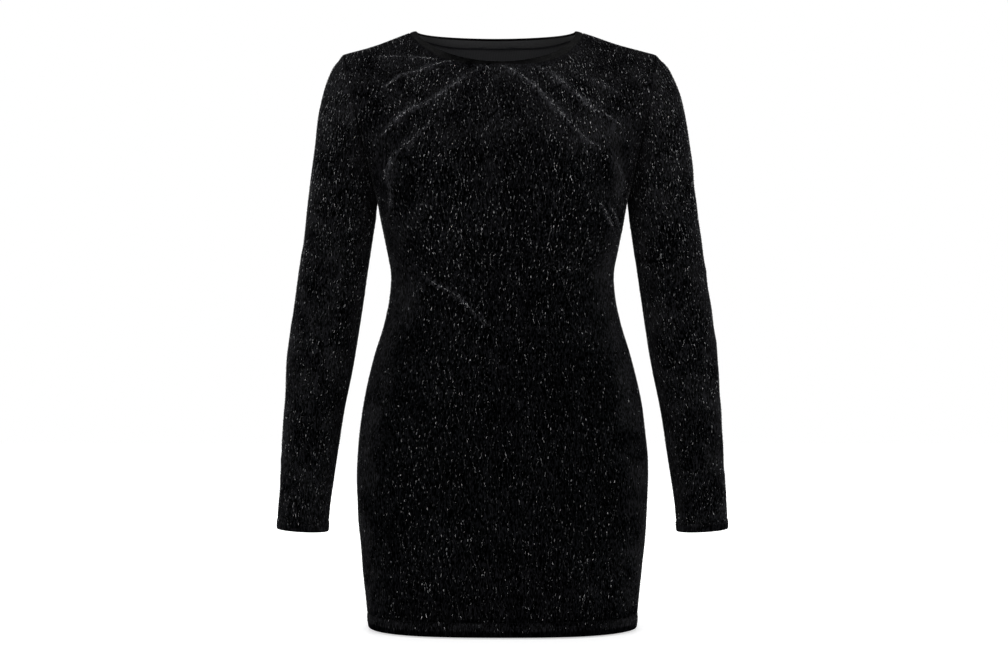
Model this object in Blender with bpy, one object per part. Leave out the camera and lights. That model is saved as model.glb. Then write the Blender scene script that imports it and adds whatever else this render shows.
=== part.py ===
"""A long-sleeved bodycon mini dress of stretch velvet, hollow and open as if someone wore it.

The dress is cut as a front, a back, two sleeves and a narrow neckband. Each is its own wall of
cloth: an outer skin of rings and columns worked out from the sizes below, and an inner skin one
cloth thickness behind it. Pieces stop SEAM_GAP short of each other along their seams.

Metres. +Z is up, the front faces -Y and +X is the wearer's left. The origin lies midway between
the two high points of the shoulders, where the dress hangs on its wearer.
"""

import math
from collections import namedtuple

import bpy
import numpy as np

# The side a panel lies on, as the sign of its Y.
FRONT = -1
BACK = 1

# Cloth.
WALL = 0.0015  # stretch velvet, nap and all
TURNED_WALL = 0.0030  # two layers, where a hem is turned up
HEM_TURN = 0.018
CUFF_TURN = 0.014
TURN_STEP = 0.0015  # height over which the raw edge of a turned hem thins out
SEAM_GAP = 0.0003

# Neckband: a folded strip, standing on the neck seam. Its upper edge frames the neck opening.
BAND_WALL = 0.0024
BAND_SWELL = 0.0003  # how much its outside rounds out half way up
NECK_HALF_WIDTH = 0.103
NECK_DEPTH_FRONT = 0.075
NECK_DEPTH_BACK = 0.062
NECK_DROP_FRONT = 0.050
NECK_DROP_POWER = 1.2  # above 1, the drop eases in at the shoulders

# The panels' neckline is an oval seen from above, this much outside the band's upper edge.
NECK_CUT_HALF_WIDTH = 0.1131
NECK_CUT_FRONT = 0.0830
NECK_CUT_BACK = 0.0655
NECK_CORNER_HEIGHT = -0.0029

# Shoulders and armholes.
SHOULDER_POINT = np.array([0.2030, 0.0, -0.0318])
SHOULDER_SAG = 0.0018  # below a straight line from the neck to the shoulder point
UNDERARM = np.array([0.1620, 0.0, -0.2240])
ARMHOLE_REACH = 0.044  # of the armhole, forward and back of the side seam
ARMHOLE_ROUND = 0.9
ARMHOLE_PULL_START = 0.35  # share of the half width from which columns bend to the armhole

# The shoulders sit a little to one side on the wearer, by this much at the neck.
LEAN = 0.0088
LEAN_FADE = 0.042

# Torso rings from the hem up to the underarm. A ring is a superellipse of this squareness.
Ring = namedtuple("Ring", "height half_width front back squareness")
TORSO = (
    Ring(-0.7705, 0.1731, 0.114, 0.108, 2.75),
    Ring(-0.7500, 0.1749, 0.113, 0.110, 2.70),
    Ring(-0.7050, 0.1800, 0.112, 0.114, 2.60),
    Ring(-0.6400, 0.1860, 0.110, 0.119, 2.50),
    Ring(-0.5750, 0.1888, 0.108, 0.120, 2.40),
    Ring(-0.5100, 0.1840, 0.105, 0.114, 2.35),
    Ring(-0.4600, 0.1756, 0.102, 0.102, 2.30),
    Ring(-0.4200, 0.1655, 0.099, 0.089, 2.25),
    Ring(-0.3800, 0.1534, 0.098, 0.078, 2.20),
    Ring(-0.3450, 0.1463, 0.101, 0.073, 2.20),
    Ring(-0.3150, 0.1446, 0.107, 0.074, 2.20),
    Ring(-0.2850, 0.1500, 0.115, 0.080, 2.25),
    Ring(-0.2500, 0.1572, 0.120, 0.088, 2.30),
    Ring(-0.2240, 0.1620, 0.119, 0.093, 2.30),
)

# A yoke column climbs from the underarm ring and lands level on a ridge over the shoulder. At the
# centre of a panel the ridge is only a guide, as the neckline is cut out below it.
Yoke = namedtuple(
    "Yoke", "climb_centre climb_side landing_centre landing_corner landing_side ridge_dip neck_cut"
)
YOKES = {
    FRONT: Yoke(0.520, 0.340, 0.140, 0.090, 0.120, 0.015, NECK_CUT_FRONT),
    BACK: Yoke(0.600, 0.320, 0.140, 0.170, 0.120, 0.010, NECK_CUT_BACK),
}
DIP_POWER = 2.0

# Sleeve rings from the armhole to the cuff: outer and inner edge seen from the front.
Cut = namedtuple("Cut", "outer_x outer_z inner_x inner_z half_depth centre_y")
SLEEVE = (
    Cut(SHOULDER_POINT[0], SHOULDER_POINT[2], UNDERARM[0], UNDERARM[2], ARMHOLE_REACH, 0.0),
    Cut(0.2080, -0.0380, 0.1622, -0.2262, 0.048, 0.000),
    Cut(0.2180, -0.0500, 0.1626, -0.2295, 0.051, 0.001),
    Cut(0.2288, -0.0740, 0.1633, -0.2345, 0.053, 0.001),
    Cut(0.2380, -0.1080, 0.1645, -0.2430, 0.054, 0.002),
    Cut(0.2440, -0.1520, 0.1668, -0.2580, 0.054, 0.002),
    Cut(0.2502, -0.2050, 0.1710, -0.2850, 0.053, 0.002),
    Cut(0.2580, -0.2700, 0.1775, -0.3300, 0.051, 0.001),
    Cut(0.2690, -0.3450, 0.1850, -0.3820, 0.049, 0.000),
    Cut(0.2790, -0.4200, 0.1937, -0.4360, 0.046, -0.002),
    Cut(0.2826, -0.4880, 0.2050, -0.4940, 0.041, -0.006),
    Cut(0.2856, -0.5500, 0.2140, -0.5550, 0.036, -0.012),
    Cut(0.2886, -0.6080, 0.2218, -0.6130, 0.032, -0.019),
    Cut(0.2905, -0.6440, 0.2240, -0.6480, 0.031, -0.023),
)
ROUND_FROM = 4.0  # rows of the sleeve over which the pointed armhole becomes an oval

# Large drag folds. Each runs through three places, seen from the front or the back.
Fold = namedtuple("Fold", "start middle end height half_width")
FRONT_FOLDS = (
    Fold((0.000, -0.063), (0.065, -0.115), (0.145, -0.166), 0.0030, 0.011),
    Fold((0.040, -0.060), (0.090, -0.095), (0.150, -0.128), 0.0024, 0.010),
    Fold((-0.028, -0.060), (-0.090, -0.105), (-0.150, -0.150), 0.0030, 0.011),
    Fold((-0.055, -0.052), (-0.105, -0.070), (-0.150, -0.088), 0.0024, 0.010),
    Fold((-0.080, -0.128), (-0.120, -0.160), (-0.148, -0.208), 0.0024, 0.011),
    Fold((-0.102, -0.322), (-0.060, -0.345), (-0.017, -0.384), 0.0022, 0.012),
)
BACK_FOLDS = (
    Fold((0.045, -0.026), (0.085, -0.085), (0.145, -0.140), 0.0026, 0.011),
    Fold((-0.040, -0.028), (-0.092, -0.080), (-0.146, -0.126), 0.0028, 0.011),
    Fold((-0.120, -0.300), (-0.030, -0.326), (0.070, -0.318), 0.0028, 0.012),
    Fold((0.115, -0.352), (0.030, -0.372), (-0.080, -0.362), 0.0024, 0.013),
    Fold((0.138, -0.250), (0.095, -0.285), (0.030, -0.300), 0.0022, 0.011),
)
FOLD_EDGE_FADE = 0.12  # share of a panel's half width over which folds die out at its seams
FOLD_TIP = 0.1  # a fold starts and stops this share of a half turn up its swell
FOLD_BENDS = 9

# How finely the pieces are cut into faces.
NECK_CELLS = 20
SHOULDER_CELLS = 9
YOKE_CELLS = 12
TORSO_CELLS = 20
SLEEVE_CELLS_PER_ROW = 2
ROW_ROOM = 0.2  # least share of a table row between an even row and the cuff's own rows
EDGE_CELLS = 4  # round the band's upper edge
NECK_SHARE = 0.45  # of a panel's half width, taken by the neckline
CORNER_CROWD = 0.6  # 0 spaces its columns evenly, 1 as an even turn round an oval

CUT_STEPS = 40  # halvings when the neckline is looked for
STEP = 1e-4  # along a surface, when its normal is looked for
Y_AXIS = np.array([0.0, 1.0, 0.0])

VELVET = (0.010, 0.010, 0.012, 1.0)
BAND_VELVET = (0.014, 0.014, 0.016, 1.0)
VELVET_ROUGHNESS = 0.85
SHARP_EDGE = math.radians(50)


def unit(vectors):
    """The same directions, each one long."""
    return vectors / np.linalg.norm(vectors, axis=-1, keepdims=True)


def hermite(start, leaving, end, arriving, part):
    """Cubic from start to end that leaves and arrives along the two given handles."""
    square, cube = part**2, part**3
    return (
        (2 * cube - 3 * square + 1) * start
        + (cube - 2 * square + part) * leaving
        + (3 * square - 2 * cube) * end
        + (cube - square) * arriving
    )


def read_table(rows, keys, at):
    """Each column of a table as a smooth curve through its rows, read at the given keys."""
    values = np.array(rows, float)
    slopes = np.gradient(values, keys, axis=0)
    row = np.clip(np.searchsorted(keys, at, side="right") - 1, 0, len(keys) - 2)
    span = (keys[row + 1] - keys[row])[..., None]
    part = (at - keys[row])[..., None] / span
    read = hermite(values[row], slopes[row] * span, values[row + 1], slopes[row + 1] * span, part)
    return np.moveaxis(read, -1, 0)


def ease(low, high, value):
    """0 below low, 1 above high and a smooth step between."""
    part = np.clip((value - low) / (high - low), 0, 1)
    return part * part * (3 - 2 * part)


def lean(points):
    """The sideways set of the shoulders: a shift that dies out downwards."""
    leaning = np.array(points)
    leaning[..., 0] -= LEAN * np.exp(leaning[..., 2] / LEAN_FADE)
    return leaning


def torso(side, height, across):
    """Half ring from one side seam (across -1) over the front or back to the other (1)."""
    _, half_width, front, back, squareness = read_table(
        TORSO, np.array([ring.height for ring in TORSO]), height
    )
    depth = front if side == FRONT else back
    angle = across * math.pi / 2
    power = 2 / squareness
    x = half_width * np.sign(angle) * np.abs(np.sin(angle)) ** power
    y = side * depth * np.abs(np.cos(angle)) ** power
    return np.stack(np.broadcast_arrays(x, y, height), -1)


def neck_edge(side, angle):
    """The band's upper edge: half an oval, dropped in front; the angle is 0 at the centre."""
    depth = NECK_DEPTH_FRONT if side == FRONT else NECK_DEPTH_BACK
    drop = NECK_DROP_FRONT if side == FRONT else 0.0
    reach = np.abs(np.cos(angle))
    return np.stack(
        [NECK_HALF_WIDTH * np.sin(angle), side * depth * reach, -drop * reach**NECK_DROP_POWER],
        -1,
    )


def ridge(side, across):
    """Top line of the yoke: the shoulder seam, carried on across the neck with a dip."""
    corner = np.array([NECK_CUT_HALF_WIDTH, 0.0, NECK_CORNER_HEIGHT])
    crowd = math.log(corner[0] / SHOULDER_POINT[0]) / math.log(
        torso(side, UNDERARM[2:], np.array([NECK_SHARE]))[0, 0] / UNDERARM[0]
    )
    base = torso(side, np.full_like(across, UNDERARM[2]), across)[..., 0]
    x = SHOULDER_POINT[0] * (np.abs(base) / UNDERARM[0]) ** crowd
    along = (x - corner[0]) / (SHOULDER_POINT[0] - corner[0])
    z = corner[2] + (SHOULDER_POINT[2] - corner[2]) * along
    z -= SHOULDER_SAG * np.sin(math.pi * np.clip(along, 0, 1)) ** 2
    z -= YOKES[side].ridge_dip * np.clip(1 - (x / corner[0]) ** 2, 0, 1) ** DIP_POWER
    return np.stack([x * np.sign(across), np.zeros_like(x), z], -1)


def column(side, up, across):
    """A yoke column, from the underarm ring (up 0) to the ridge (1)."""
    shape = YOKES[side]
    start = torso(side, np.full_like(across, UNDERARM[2]), across)
    below = torso(side, np.full_like(across, UNDERARM[2] - WALL), across)
    outwards = np.abs(across)[..., None]
    climb = shape.climb_centre + (shape.climb_side - shape.climb_centre) * ease(0, 1, outwards)
    landing = shape.landing_centre
    landing += (shape.landing_corner - shape.landing_centre) * ease(0, NECK_SHARE, outwards)
    landing += (shape.landing_side - shape.landing_corner) * ease(NECK_SHARE, 1, outwards)
    return hermite(
        start, climb * unit(start - below), ridge(side, across), -side * landing * Y_AXIS,
        up[..., None],
    )


def neck_cut(side, across):
    """How far up its column the neckline's oval is met; 1 on the shoulders, which it spares."""
    low, high = np.zeros_like(across), np.ones_like(across)
    half_size = np.array([NECK_CUT_HALF_WIDTH, YOKES[side].neck_cut])
    for _ in range(CUT_STEPS):
        middle = (low + high) / 2
        outside = np.sum((column(side, middle, across)[..., :2] / half_size) ** 2, axis=-1) > 1
        low, high = np.where(outside, middle, low), np.where(outside, high, middle)
    return np.where(np.abs(across) < NECK_SHARE, low, 1.0)


def armhole(side, up):
    """Armhole seam from the underarm (up 0) to the shoulder point (1), in one flat plane."""
    rise = np.sin(up * math.pi / 2)[..., None]
    reach = side * ARMHOLE_REACH * np.abs(np.sin(up * math.pi))[..., None] ** ARMHOLE_ROUND
    return UNDERARM + (SHOULDER_POINT - UNDERARM) * rise + Y_AXIS * reach


def armhole_normal():
    """Normal of the armhole's plane, pointing out along the sleeve."""
    return unit(np.cross(Y_AXIS, SHOULDER_POINT - UNDERARM))


def yoke(side, up, across):
    """From the underarm ring (up 0) to the neckline and shoulder (1), bent to the armholes."""
    edge = np.ones_like(across)
    pull = armhole(side, up) - column(side, up, edge)
    outwards = np.clip((np.abs(across) - ARMHOLE_PULL_START) / (1 - ARMHOLE_PULL_START), 0, 1)
    pull = pull * (outwards**2)[..., None]
    pull[..., 0] *= np.sign(across)
    return column(side, up * neck_cut(side, across), across) + pull


def panel_normals(surface, side, rows, across, top):
    """Outward unit normals of a panel's surface, from small steps along and up it."""
    right = surface(side, rows, np.minimum(across + STEP, 1))
    left = surface(side, rows, np.maximum(across - STEP, -1))
    above = surface(side, np.minimum(rows + STEP, top), across)
    below = surface(side, rows - STEP, across)
    return unit(np.cross(right - left, above - below)) * -side


def ring_normals(rings):
    """Outward unit normals of rings that go round a limb; the rings follow one another down it."""
    wrapped = np.concatenate([rings[:, -1:], rings, rings[:, :1]], axis=1)
    round_ = np.gradient(wrapped, axis=1)[:, 1:-1]
    return -unit(np.cross(round_, np.gradient(rings, axis=0)))


def fold_relief(folds, skin):
    """Height of the folds over each point, from its distance to their curves as seen front on."""
    relief = np.zeros(skin.shape[:-1])
    part = np.linspace(0, 1, FOLD_BENDS)[:, None]
    for fold in folds:
        start, middle, end = np.array(fold.start), np.array(fold.middle), np.array(fold.end)
        path = (1 - part) ** 2 * start + 2 * part * (1 - part) * middle + part**2 * end
        gaps = skin[..., None, :][..., (0, 2)] - path
        distance = np.linalg.norm(gaps, axis=-1)
        nearest = distance.min(axis=-1)
        along = distance.argmin(axis=-1) / (FOLD_BENDS - 1)
        swell = np.sin(math.pi * (FOLD_TIP + (1 - 2 * FOLD_TIP) * along))
        relief = np.maximum(relief, fold.height * swell * np.exp(-((nearest / fold.half_width) ** 2)))
    return relief


def slide_to_plane(points, slide, plane_point, plane_normal):
    """Points past a plane go back along their own slide direction until they lie on it."""
    past = (points - plane_point) @ plane_normal
    rate = slide @ plane_normal
    return points - slide * np.where(past > 0, past / rate, 0)[..., None]


def make_object(name, points, faces, colour, collection):
    """A closed wall of cloth with a material of its own."""
    mesh = bpy.data.meshes.new(name)
    mesh.from_pydata(points.tolist(), [], faces.tolist())
    mesh.shade_smooth()
    mesh.set_sharp_from_angle(angle=SHARP_EDGE)
    material = bpy.data.materials.new(name)
    material.use_nodes = True
    shader = material.node_tree.nodes["Principled BSDF"]
    shader.inputs["Base Color"].default_value = colour
    shader.inputs["Roughness"].default_value = VELVET_ROUGHNESS
    shader.inputs["Metallic"].default_value = 0.0
    mesh.materials.append(material)
    made = bpy.data.objects.new(name, mesh)
    collection.objects.link(made)
    return made


def quads(numbers):
    """Four-sided faces between neighbouring rows and columns of a grid of point numbers.

    Faces split from their first corner to their third, so half of them start one corner on:
    that way the left and right of a piece split as mirror images.
    """
    corners = [numbers[:-1, :-1], numbers[:-1, 1:], numbers[1:, 1:], numbers[1:, :-1]]
    faces = np.stack(corners, -1)
    middle = faces.shape[1] // 2
    faces[:, middle:] = np.roll(faces[:, middle:], -1, axis=-1)
    return faces.reshape(-1, 4)


def from_behind(faces):
    """The same faces, split the same way, turned to face the other way."""
    return np.roll(faces[:, ::-1], 1, axis=1)


def close_wall(outer, inner, closed):
    """Points and faces of a wall between two skins; a closed skin meets itself round a limb."""
    numbers = np.arange(outer[..., 0].size).reshape(outer.shape[:2])
    if closed:
        numbers = np.concatenate([numbers, numbers[:, :1]], axis=1)
        borders = [numbers[0], numbers[-1, ::-1]]
    else:
        loop = [numbers[0, :-1], numbers[:-1, -1], numbers[-1, :0:-1], numbers[:0:-1, 0]]
        loop = np.concatenate(loop)
        borders = [np.append(loop, loop[0])]
    behind = outer[..., 0].size
    faces = [quads(numbers), from_behind(quads(numbers)) + behind]
    faces += [from_behind(quads(np.stack([border, border + behind]))) for border in borders]
    return np.concatenate([outer.reshape(-1, 3), inner.reshape(-1, 3)]), np.concatenate(faces)


def neck_columns():
    """Columns that end on the neckline, closer together towards its corners."""
    even = np.linspace(-1, 1, NECK_CELLS + 1)
    return NECK_SHARE * ((1 - CORNER_CROWD) * even + CORNER_CROWD * np.sin(even * math.pi / 2))


def panel_columns():
    """Columns of a panel: shoulder, neck, shoulder."""
    shoulder = np.linspace(NECK_SHARE, 1, SHOULDER_CELLS + 1)
    return np.concatenate([-shoulder[:0:-1], neck_columns(), shoulder[1:]])


def torso_heights():
    """Rows of a panel below the underarm: the turned hem first, then even steps."""
    hem = TORSO[0].height
    turned = hem + HEM_TURN
    even = np.linspace(turned + TURN_STEP, UNDERARM[2], TORSO_CELLS + 1)
    return np.concatenate([[hem, turned], even])


def make_panel(name, side, folds, collection):
    """Front or back of the dress, from the hem to the shoulder and neck seams."""
    across = panel_columns()
    heights = torso_heights()
    low = np.broadcast_arrays(heights[:, None], across[None])
    high = np.broadcast_arrays(np.linspace(0, 1, YOKE_CELLS + 1)[1:, None], across[None])
    skin = np.concatenate([torso(side, *low), yoke(side, *high)])
    facing = np.concatenate(
        [
            panel_normals(torso, side, *low, UNDERARM[2]),
            panel_normals(yoke, side, *high, 1),
        ]
    )
    edge_fade = 1 - ease(1 - FOLD_EDGE_FADE, 1, np.abs(across))
    end_fade = np.ones(len(skin))
    end_fade[-1] = 0
    relief = fold_relief(folds, skin) * edge_fade * end_fade[:, None]
    skin = skin + relief[..., None] * facing

    turned = heights <= heights[1]
    thickness = np.full(len(skin), WALL)
    thickness[: len(heights)][turned] = TURNED_WALL
    inner = skin - thickness[:, None, None] * facing

    # The armhole edges stop short of the armhole's plane.
    out = armhole_normal()
    for column, mirror in ((0, np.array([-1.0, 1.0, 1.0])), (-1, np.ones(3))):
        first = len(heights) - 1
        normal = out * mirror
        skin[first:, column] -= normal * SEAM_GAP / 2
        slide = unit(skin[first:, column] - skin[first:, 1 if column == 0 else -2])
        inner[first:, column] = slide_to_plane(
            inner[first:, column], slide, skin[first, column], normal
        )
    # The side and shoulder seams stop short of the plane between front and back.
    skin[..., 1] = side * np.maximum(side * skin[..., 1], 0) + side * SEAM_GAP / 2
    inner[..., 1] = side * np.maximum(side * inner[..., 1], 0) + side * SEAM_GAP / 2
    # The neck edge stops short of the band.
    neck = slice(SHOULDER_CELLS, SHOULDER_CELLS + NECK_CELLS + 1)
    _, up_band, _ = band_frame(side)
    skin[-1, neck] -= up_band * SEAM_GAP / 2
    past = np.sum((inner[-1, neck] - skin[-1, neck]) * up_band, axis=-1, keepdims=True)
    inner[-1, neck] -= up_band * past

    points, faces = close_wall(lean(skin), lean(inner), False)
    if side == BACK:
        faces = from_behind(faces)
    return make_object(name, points, faces, VELVET, collection)


def sleeve_skin(down):
    """Rings of the wearer's left sleeve, each from the underarm over the front and back again."""
    keys = np.arange(len(SLEEVE), dtype=float)
    cut = Cut(*(column[:, None] for column in read_table(SLEEVE, keys, down)))
    up = np.linspace(0, 1, YOKE_CELLS + 1)
    up = np.concatenate([up, up[-2:0:-1]])
    side = np.where(np.arange(len(up)) <= YOKE_CELLS, FRONT, BACK)
    pointed = np.clip(1 - down / ROUND_FROM, 0, 1)[:, None]
    swing = np.abs(np.sin(up * math.pi))
    rise = pointed * np.sin(up * math.pi / 2) + (1 - pointed) * (1 - np.cos(up * math.pi)) / 2
    reach = pointed * swing**ARMHOLE_ROUND + (1 - pointed) * swing
    x = cut.inner_x + (cut.outer_x - cut.inner_x) * rise
    z = cut.inner_z + (cut.outer_z - cut.inner_z) * rise
    y = cut.centre_y + side * cut.half_depth * reach
    return np.stack([x, y, z], -1)


def cuff_rows():
    """Positions down the sleeve's table: even rows, then the turned cuff's edge and step."""
    last = len(SLEEVE) - 1
    even = np.linspace(0, last, last * SLEEVE_CELLS_PER_ROW + 1)
    length = SLEEVE[-2].outer_z - SLEEVE[-1].outer_z
    turned = last - CUFF_TURN / length
    step = turned - TURN_STEP / length
    return np.concatenate([even[even < step - ROW_ROOM], [step, turned, last]])


def make_sleeve(name, mirror, collection):
    """A sleeve, closed round the arm and open at the armhole and the cuff."""
    down = cuff_rows()
    skin = sleeve_skin(down)
    facing = ring_normals(skin)
    thickness = np.full(len(down), WALL)
    thickness[-2:] = TURNED_WALL
    inner = skin - thickness[:, None, None] * facing
    out = armhole_normal()
    skin[0] += out * SEAM_GAP / 2
    slide = unit(skin[0] - skin[1])
    inner[0] = slide_to_plane(inner[0], slide, skin[0, 0], -out)
    points, faces = close_wall(lean_side(skin, mirror), lean_side(inner, mirror), True)
    if mirror > 0:
        faces = from_behind(faces)
    return make_object(name, points, faces, VELVET, collection)


def lean_side(points, mirror):
    """The wearer's left sleeve, or its mirror image, set to the lean of the shoulders."""
    return lean(points * np.array([mirror, 1.0, 1.0]))


def band_frame(side):
    """Neck seam points of one panel, the unit directions from there up the band, its heights."""
    across = neck_columns()
    seam = yoke(side, np.ones_like(across), across)
    angle = np.arcsin(np.clip(seam[:, 0] / NECK_CUT_HALF_WIDTH, -1, 1))
    rise = neck_edge(side, angle) - seam
    return seam, unit(rise), np.linalg.norm(rise, axis=-1)


def make_neckband(name, collection):
    """A folded strip all round the neck: a flat-sided section with a round upper edge."""
    # Share of the band's height, then offsets up it and out of it: outside, round edge, inside.
    radius = BAND_WALL / 2
    turn = np.linspace(0, math.pi, EDGE_CELLS + 1)
    edge = [np.ones_like(turn), radius * (np.sin(turn) - 1), radius * (np.cos(turn) - 1)]
    outside = [(0.0, 0.0, 0.0), (0.5, 0.0, BAND_SWELL)]
    section = np.concatenate([outside, np.stack(edge, -1), [(0.0, 0.0, -BAND_WALL)]])
    halves = zip(band_frame(FRONT), band_frame(BACK))
    seam, up, height = (np.concatenate([front, back[-2:0:-1]]) for front, back in halves)
    along = np.roll(seam, -1, axis=0) - np.roll(seam, 1, axis=0)
    facing = unit(np.cross(along, up))
    rise = section[:, 0] * height[:, None] + section[:, 1] + (1 - section[:, 0]) * SEAM_GAP / 2
    ring = seam[:, None] + up[:, None] * rise[..., None] + facing[:, None] * section[:, 2:]
    numbers = np.arange(ring[..., 0].size).reshape(ring.shape[:2])
    numbers = np.concatenate([numbers, numbers[:1]])
    numbers = np.concatenate([numbers, numbers[:, :1]], axis=1)
    faces = from_behind(quads(numbers))
    return make_object(name, lean(ring).reshape(-1, 3), faces, BAND_VELVET, collection)


def main():
    for old in list(bpy.data.objects):
        bpy.data.objects.remove(old)
    dress = bpy.data.collections.new("bodycon_dress")
    bpy.context.scene.collection.children.link(dress)
    make_panel("front_panel", FRONT, FRONT_FOLDS, dress)
    make_panel("back_panel", BACK, BACK_FOLDS, dress)
    make_sleeve("sleeve_left", 1.0, dress)
    make_sleeve("sleeve_right", -1.0, dress)
    make_neckband("neckband", dress)


main()
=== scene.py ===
# %% [markdown]
# # A bodycon mini dress of glitter velvet
#
# The dress is cut from one black stretch velvet: a front, a back, two long sleeves and a narrow
# neckband. Silver yarn is knitted in and shows as short glints in wavy upright lines. Here the
# dress stands filled out, as if worn, with its neck, hem and cuffs open.
#
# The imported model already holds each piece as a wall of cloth. This lesson repeats the same
# form on a much finer grid, adds creases, seams, stitches, glints and the finish of the cloth,
# and lights it as in a white studio. All sizes are metres.

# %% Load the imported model
import math
from collections import namedtuple

import bpy
import numpy as np
from mathutils import Matrix


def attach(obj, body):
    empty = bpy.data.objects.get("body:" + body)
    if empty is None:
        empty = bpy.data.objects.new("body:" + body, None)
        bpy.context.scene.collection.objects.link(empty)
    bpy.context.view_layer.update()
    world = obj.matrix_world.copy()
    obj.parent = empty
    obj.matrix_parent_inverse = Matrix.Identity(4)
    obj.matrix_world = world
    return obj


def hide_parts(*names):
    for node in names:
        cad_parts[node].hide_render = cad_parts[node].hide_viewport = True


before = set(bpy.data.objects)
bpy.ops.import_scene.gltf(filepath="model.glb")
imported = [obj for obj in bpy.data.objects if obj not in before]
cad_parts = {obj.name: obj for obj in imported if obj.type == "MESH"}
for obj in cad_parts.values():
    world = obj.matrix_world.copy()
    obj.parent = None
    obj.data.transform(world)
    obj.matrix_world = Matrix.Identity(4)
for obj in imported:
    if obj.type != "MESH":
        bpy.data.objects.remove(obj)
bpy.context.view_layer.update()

print("nodes:", ", ".join(sorted(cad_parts)))

# %% [markdown]
# ## The form of the cloth
#
# A dress on a body could be sculpted or simulated. Here it is worked out from a few sizes, so
# that the visible cloth and the solid behind it are the same shape: half rings for the torso,
# columns that climb from the underarm to the shoulder, and rings down the arm.

# %% Sizes of the torso, the yoke and the neck
FRONT = -1
BACK = 1
MIRROR = np.array([-1.0, 1.0, 1.0])
MM = 0.001
WALL = 0.0015
TURNED_WALL = 0.0030
HEM_TURN = 0.018
CUFF_TURN = 0.014
TURN_STEP = 0.0015  # height over which a turned edge thins to single cloth
SEAM_GAP = 0.0003

NECK_HALF_WIDTH = 0.103
NECK_DEPTH = {FRONT: 0.075, BACK: 0.062}
NECK_DROP = {FRONT: 0.050, BACK: 0.0}
NECK_DROP_POWER = 1.2
NECK_CUT_HALF_WIDTH = 0.1131  # of the seam under the band
NECK_CORNER_HEIGHT = -0.0029

SHOULDER_POINT = np.array([0.2030, 0.0, -0.0318])
SHOULDER_SAG = 0.0018
UNDERARM = np.array([0.1620, 0.0, -0.2240])
ARMHOLE_REACH = 0.044
ARMHOLE_ROUND = 0.9
ARMHOLE_PULL_START = 0.35
LEAN = 0.0088
LEAN_FADE = 0.042
Y_AXIS = np.array([0.0, 1.0, 0.0])

Ring = namedtuple("Ring", "height half_width front back squareness")
TORSO = (
    Ring(-0.7705, 0.1731, 0.114, 0.108, 2.75),
    Ring(-0.7500, 0.1749, 0.113, 0.110, 2.70),
    Ring(-0.7050, 0.1800, 0.112, 0.114, 2.60),
    Ring(-0.6400, 0.1860, 0.110, 0.119, 2.50),
    Ring(-0.5750, 0.1888, 0.108, 0.120, 2.40),
    Ring(-0.5100, 0.1840, 0.105, 0.114, 2.35),
    Ring(-0.4600, 0.1756, 0.102, 0.102, 2.30),
    Ring(-0.4200, 0.1655, 0.099, 0.089, 2.25),
    Ring(-0.3800, 0.1534, 0.098, 0.078, 2.20),
    Ring(-0.3450, 0.1463, 0.101, 0.073, 2.20),
    Ring(-0.3150, 0.1446, 0.107, 0.074, 2.20),
    Ring(-0.2850, 0.1500, 0.115, 0.080, 2.25),
    Ring(-0.2500, 0.1572, 0.120, 0.088, 2.30),
    Ring(-0.2240, 0.1620, 0.119, 0.093, 2.30),
)
HEM = TORSO[0].height

Yoke = namedtuple(
    "Yoke", "climb_centre climb_side landing_centre landing_corner landing_side ridge_dip neck_cut"
)
YOKES = {
    FRONT: Yoke(0.520, 0.340, 0.140, 0.090, 0.120, 0.015, 0.0830),
    BACK: Yoke(0.600, 0.320, 0.140, 0.170, 0.120, 0.010, 0.0655),
}
DIP_POWER = 2.0
NECK_SHARE = 0.45  # share of a half panel that ends on the neckline, not on the shoulder
CUT_STEPS = 40
STEP = 1e-4


# %% Curves and small helpers
def unit(vectors):
    """The same directions, each one long."""
    return vectors / np.linalg.norm(vectors, axis=-1, keepdims=True)


def ease(low, high, value):
    """0 below low, 1 above high and the smooth step 3t^2 - 2t^3 between."""
    part = np.clip((value - low) / (high - low), 0, 1)
    return part * part * (3 - 2 * part)


def hermite(start, leaving, end, arriving, part):
    """Cubic from start to end that leaves and arrives along the two given handles."""
    square, cube = part**2, part**3
    return (
        (2 * cube - 3 * square + 1) * start
        + (cube - 2 * square + part) * leaving
        + (3 * square - 2 * cube) * end
        + (cube - square) * arriving
    )


def read_table(rows, keys, at):
    """Each column of a table as a smooth curve through its rows, read at the given keys."""
    values = np.array(rows, float)
    slopes = np.gradient(values, keys, axis=0)
    row = np.clip(np.searchsorted(keys, at, side="right") - 1, 0, len(keys) - 2)
    span = (keys[row + 1] - keys[row])[..., None]
    part = (at - keys[row])[..., None] / span
    read = hermite(values[row], slopes[row] * span, values[row + 1], slopes[row + 1] * span, part)
    return np.moveaxis(read, -1, 0)


def bell(distance):
    """1 at no distance, dying out on both sides as exp(-distance^2)."""
    return np.exp(-(distance**2))


def swell(share, tip, power):
    """From 0 up to 1 and back along shares 0 to 1: a sine, blunt at the ends for powers below 1.

    It starts and ends the share tip of a half turn up the sine.
    """
    return np.sin(math.pi * (tip + (1 - 2 * tip) * share)) ** power


def closed_up(grid, axis):
    """A grid with its first row (axis 0) or column (axis 1) repeated at the end."""
    return np.concatenate([grid, np.take(grid, [0], axis=axis)], axis=axis)


def way_along(points, axis=0):
    """Distance walked along the rows or columns of a grid of points, from 0 at the start."""
    steps = np.linalg.norm(np.diff(points, axis=axis), axis=-1)
    return np.insert(steps.cumsum(axis=axis), 0, 0, axis=axis)


def read_line(line, arc, at):
    """A line's points, which lie at the distances arc, read at other distances."""
    return np.stack([np.interp(at, arc, values) for values in line.T], -1)


def lean(points):
    """The sideways set of the shoulders: a shift that dies out downwards as exp(z / fade)."""
    leaning = np.array(points)
    leaning[..., 0] -= LEAN * np.exp(leaning[..., 2] / LEAN_FADE)
    return leaning


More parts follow.
